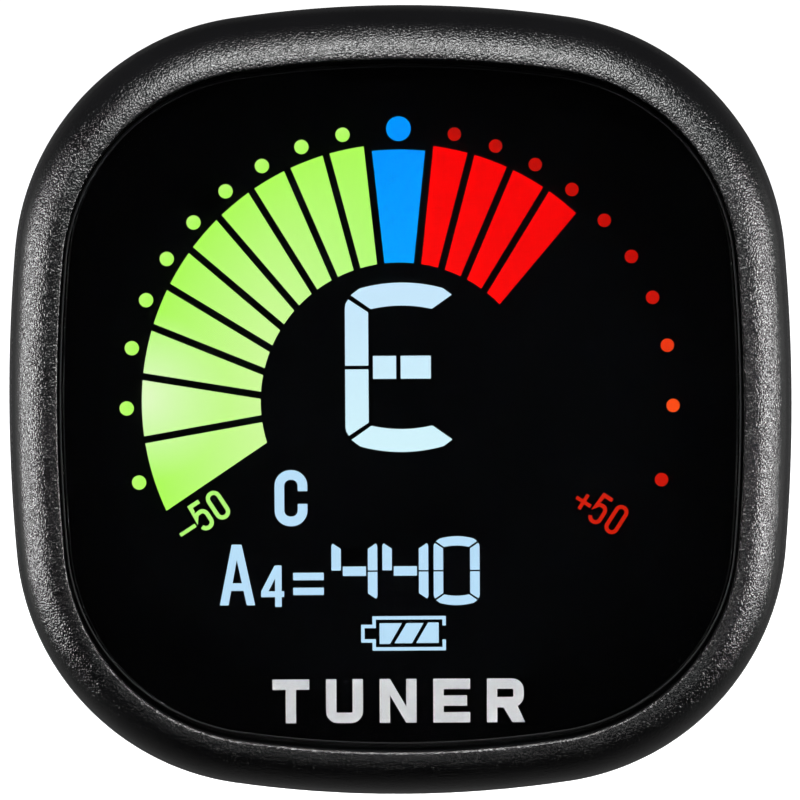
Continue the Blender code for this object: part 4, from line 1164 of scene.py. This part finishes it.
def lights():
    """Large panels beside and above the head draw the bezel's bands of light; the others fill between."""
    panel("left_side", -99, -4, (300, 380), 8.6)
    panel("left_halo", -112, -4, (800, 500), 0.6)
    panel("left_fill", -40, -5, (140, 180), 0.4)
    panel("right_side", 88, -4, (300, 380), 12.5)
    panel("right_halo", 112, -4, (800, 500), 0.5)
    panel("right_fill", 36, -3, (140, 180), 0.7)
    panel("top_front", 0, 46, (760, 360), 19.0)
    panel("top_halo", 0, 70, (800, 500), 1.2)
    panel("low_front", 12, -26, (240, 180), 1.1)


def world():
    """White behind the object. What lights it is dark in front and above, and a dim grey behind."""
    studio = bpy.data.worlds.new("studio")
    studio.use_nodes = True
    tree = studio.node_tree
    direction = add_node(tree, "TexCoord", {}, "Generated")
    fades = []
    for axis, spans in (("Y", (-0.1, 0.55, 0.004, 0.11)), ("Z", (0.0, 0.45, 1.0, 0.08))):
        values = dict(zip(("From Min", "From Max", "To Min", "To Max"), spans))
        values["Value"] = add_node(tree, "SeparateXYZ", {0: direction}, axis)
        fades.append(add_node(tree, "MapRange", values, "Result"))
    grey = add_node(tree, "Math", dict(enumerate(fades)), 0, operation="MULTIPLY")
    seen = add_node(tree, "LightPath", {}, "Is Camera Ray")
    mixed = add_node(tree, "Mix", {"Factor": seen, 6: grey, 7: (1, 1, 1)}, 2, data_type="RGBA")
    plug(tree, mixed, tree.nodes["Background"].inputs["Color"])
    bpy.context.scene.world = studio


def floor():
    """A pale floor that the camera sees. It sends no light and no reflection to the object."""
    half, drop = 1500, 25
    shape = bmesh.new()
    corners = [shape.verts.new((x, y, BEZEL_LOW.z - drop)) for x, y in bar((-half, half), (-half, half))]
    shape.faces.new(corners)
    ground = finish_mesh("floor", shape)
    pale = Finish("floor_pale", 0.9).tint((0.8, 0.8, 0.8), 0.01, 200)
    wear(ground, pale.set("Emission Color", (1, 1, 1)).set("Emission Strength", 1.0))
    ground.visible_diffuse = False
    ground.visible_glossy = False
    ground.visible_transmission = False


def camera():
    """Straight in front of the head and slightly above it, with a long lens."""
    distance, elevation, frame_width, sensor = 2000, math.radians(4.5), 51.12, 36.0
    data = bpy.data.cameras.new("camera")
    data.sensor_width = sensor
    data.lens = sensor * distance / frame_width
    data.clip_start = 0.01
    view = new_object("camera", data)
    target = Vector((-0.03, depth(WIDEST), HEAD_Z))
    away = Vector((0, -math.cos(elevation), math.sin(elevation)))
    view.location = (target + away * distance) * MM
    turn = away.to_track_quat("Z", "Y") @ Quaternion((0, 0, 1), math.radians(-0.3))
    view.rotation_euler = turn.to_euler()
    bpy.context.scene.camera = view


def main():
    bezel()
    lens()
    dial()
    pale = glowing("display_pale_blue", linear(187, 225, 250))
    note(pale)
    pitch(pale)
    battery_sign(pale)
    range_marks()
    word_mark()
    rear_cover()
    usb_socket()
    case_screws()
    buttons()
    swivel_base()
    arm()
    hinge_hardware("tilt", ("tilt_screw", "tilt_nut"), TILT_Y, "swivel_base")
    hinge_hardware("clip", ("clip_hinge_screw", "clip_hinge_nut"), CLIP_HINGE_Y, "fixed_clip")
    fixed_jaw()
    moving_jaw()
    pads()
    pin_and_spring()
    kept_pieces()
    world()
    floor()
    lights()
    camera()
    bpy.context.scene.view_settings.view_transform = "Standard"


main()
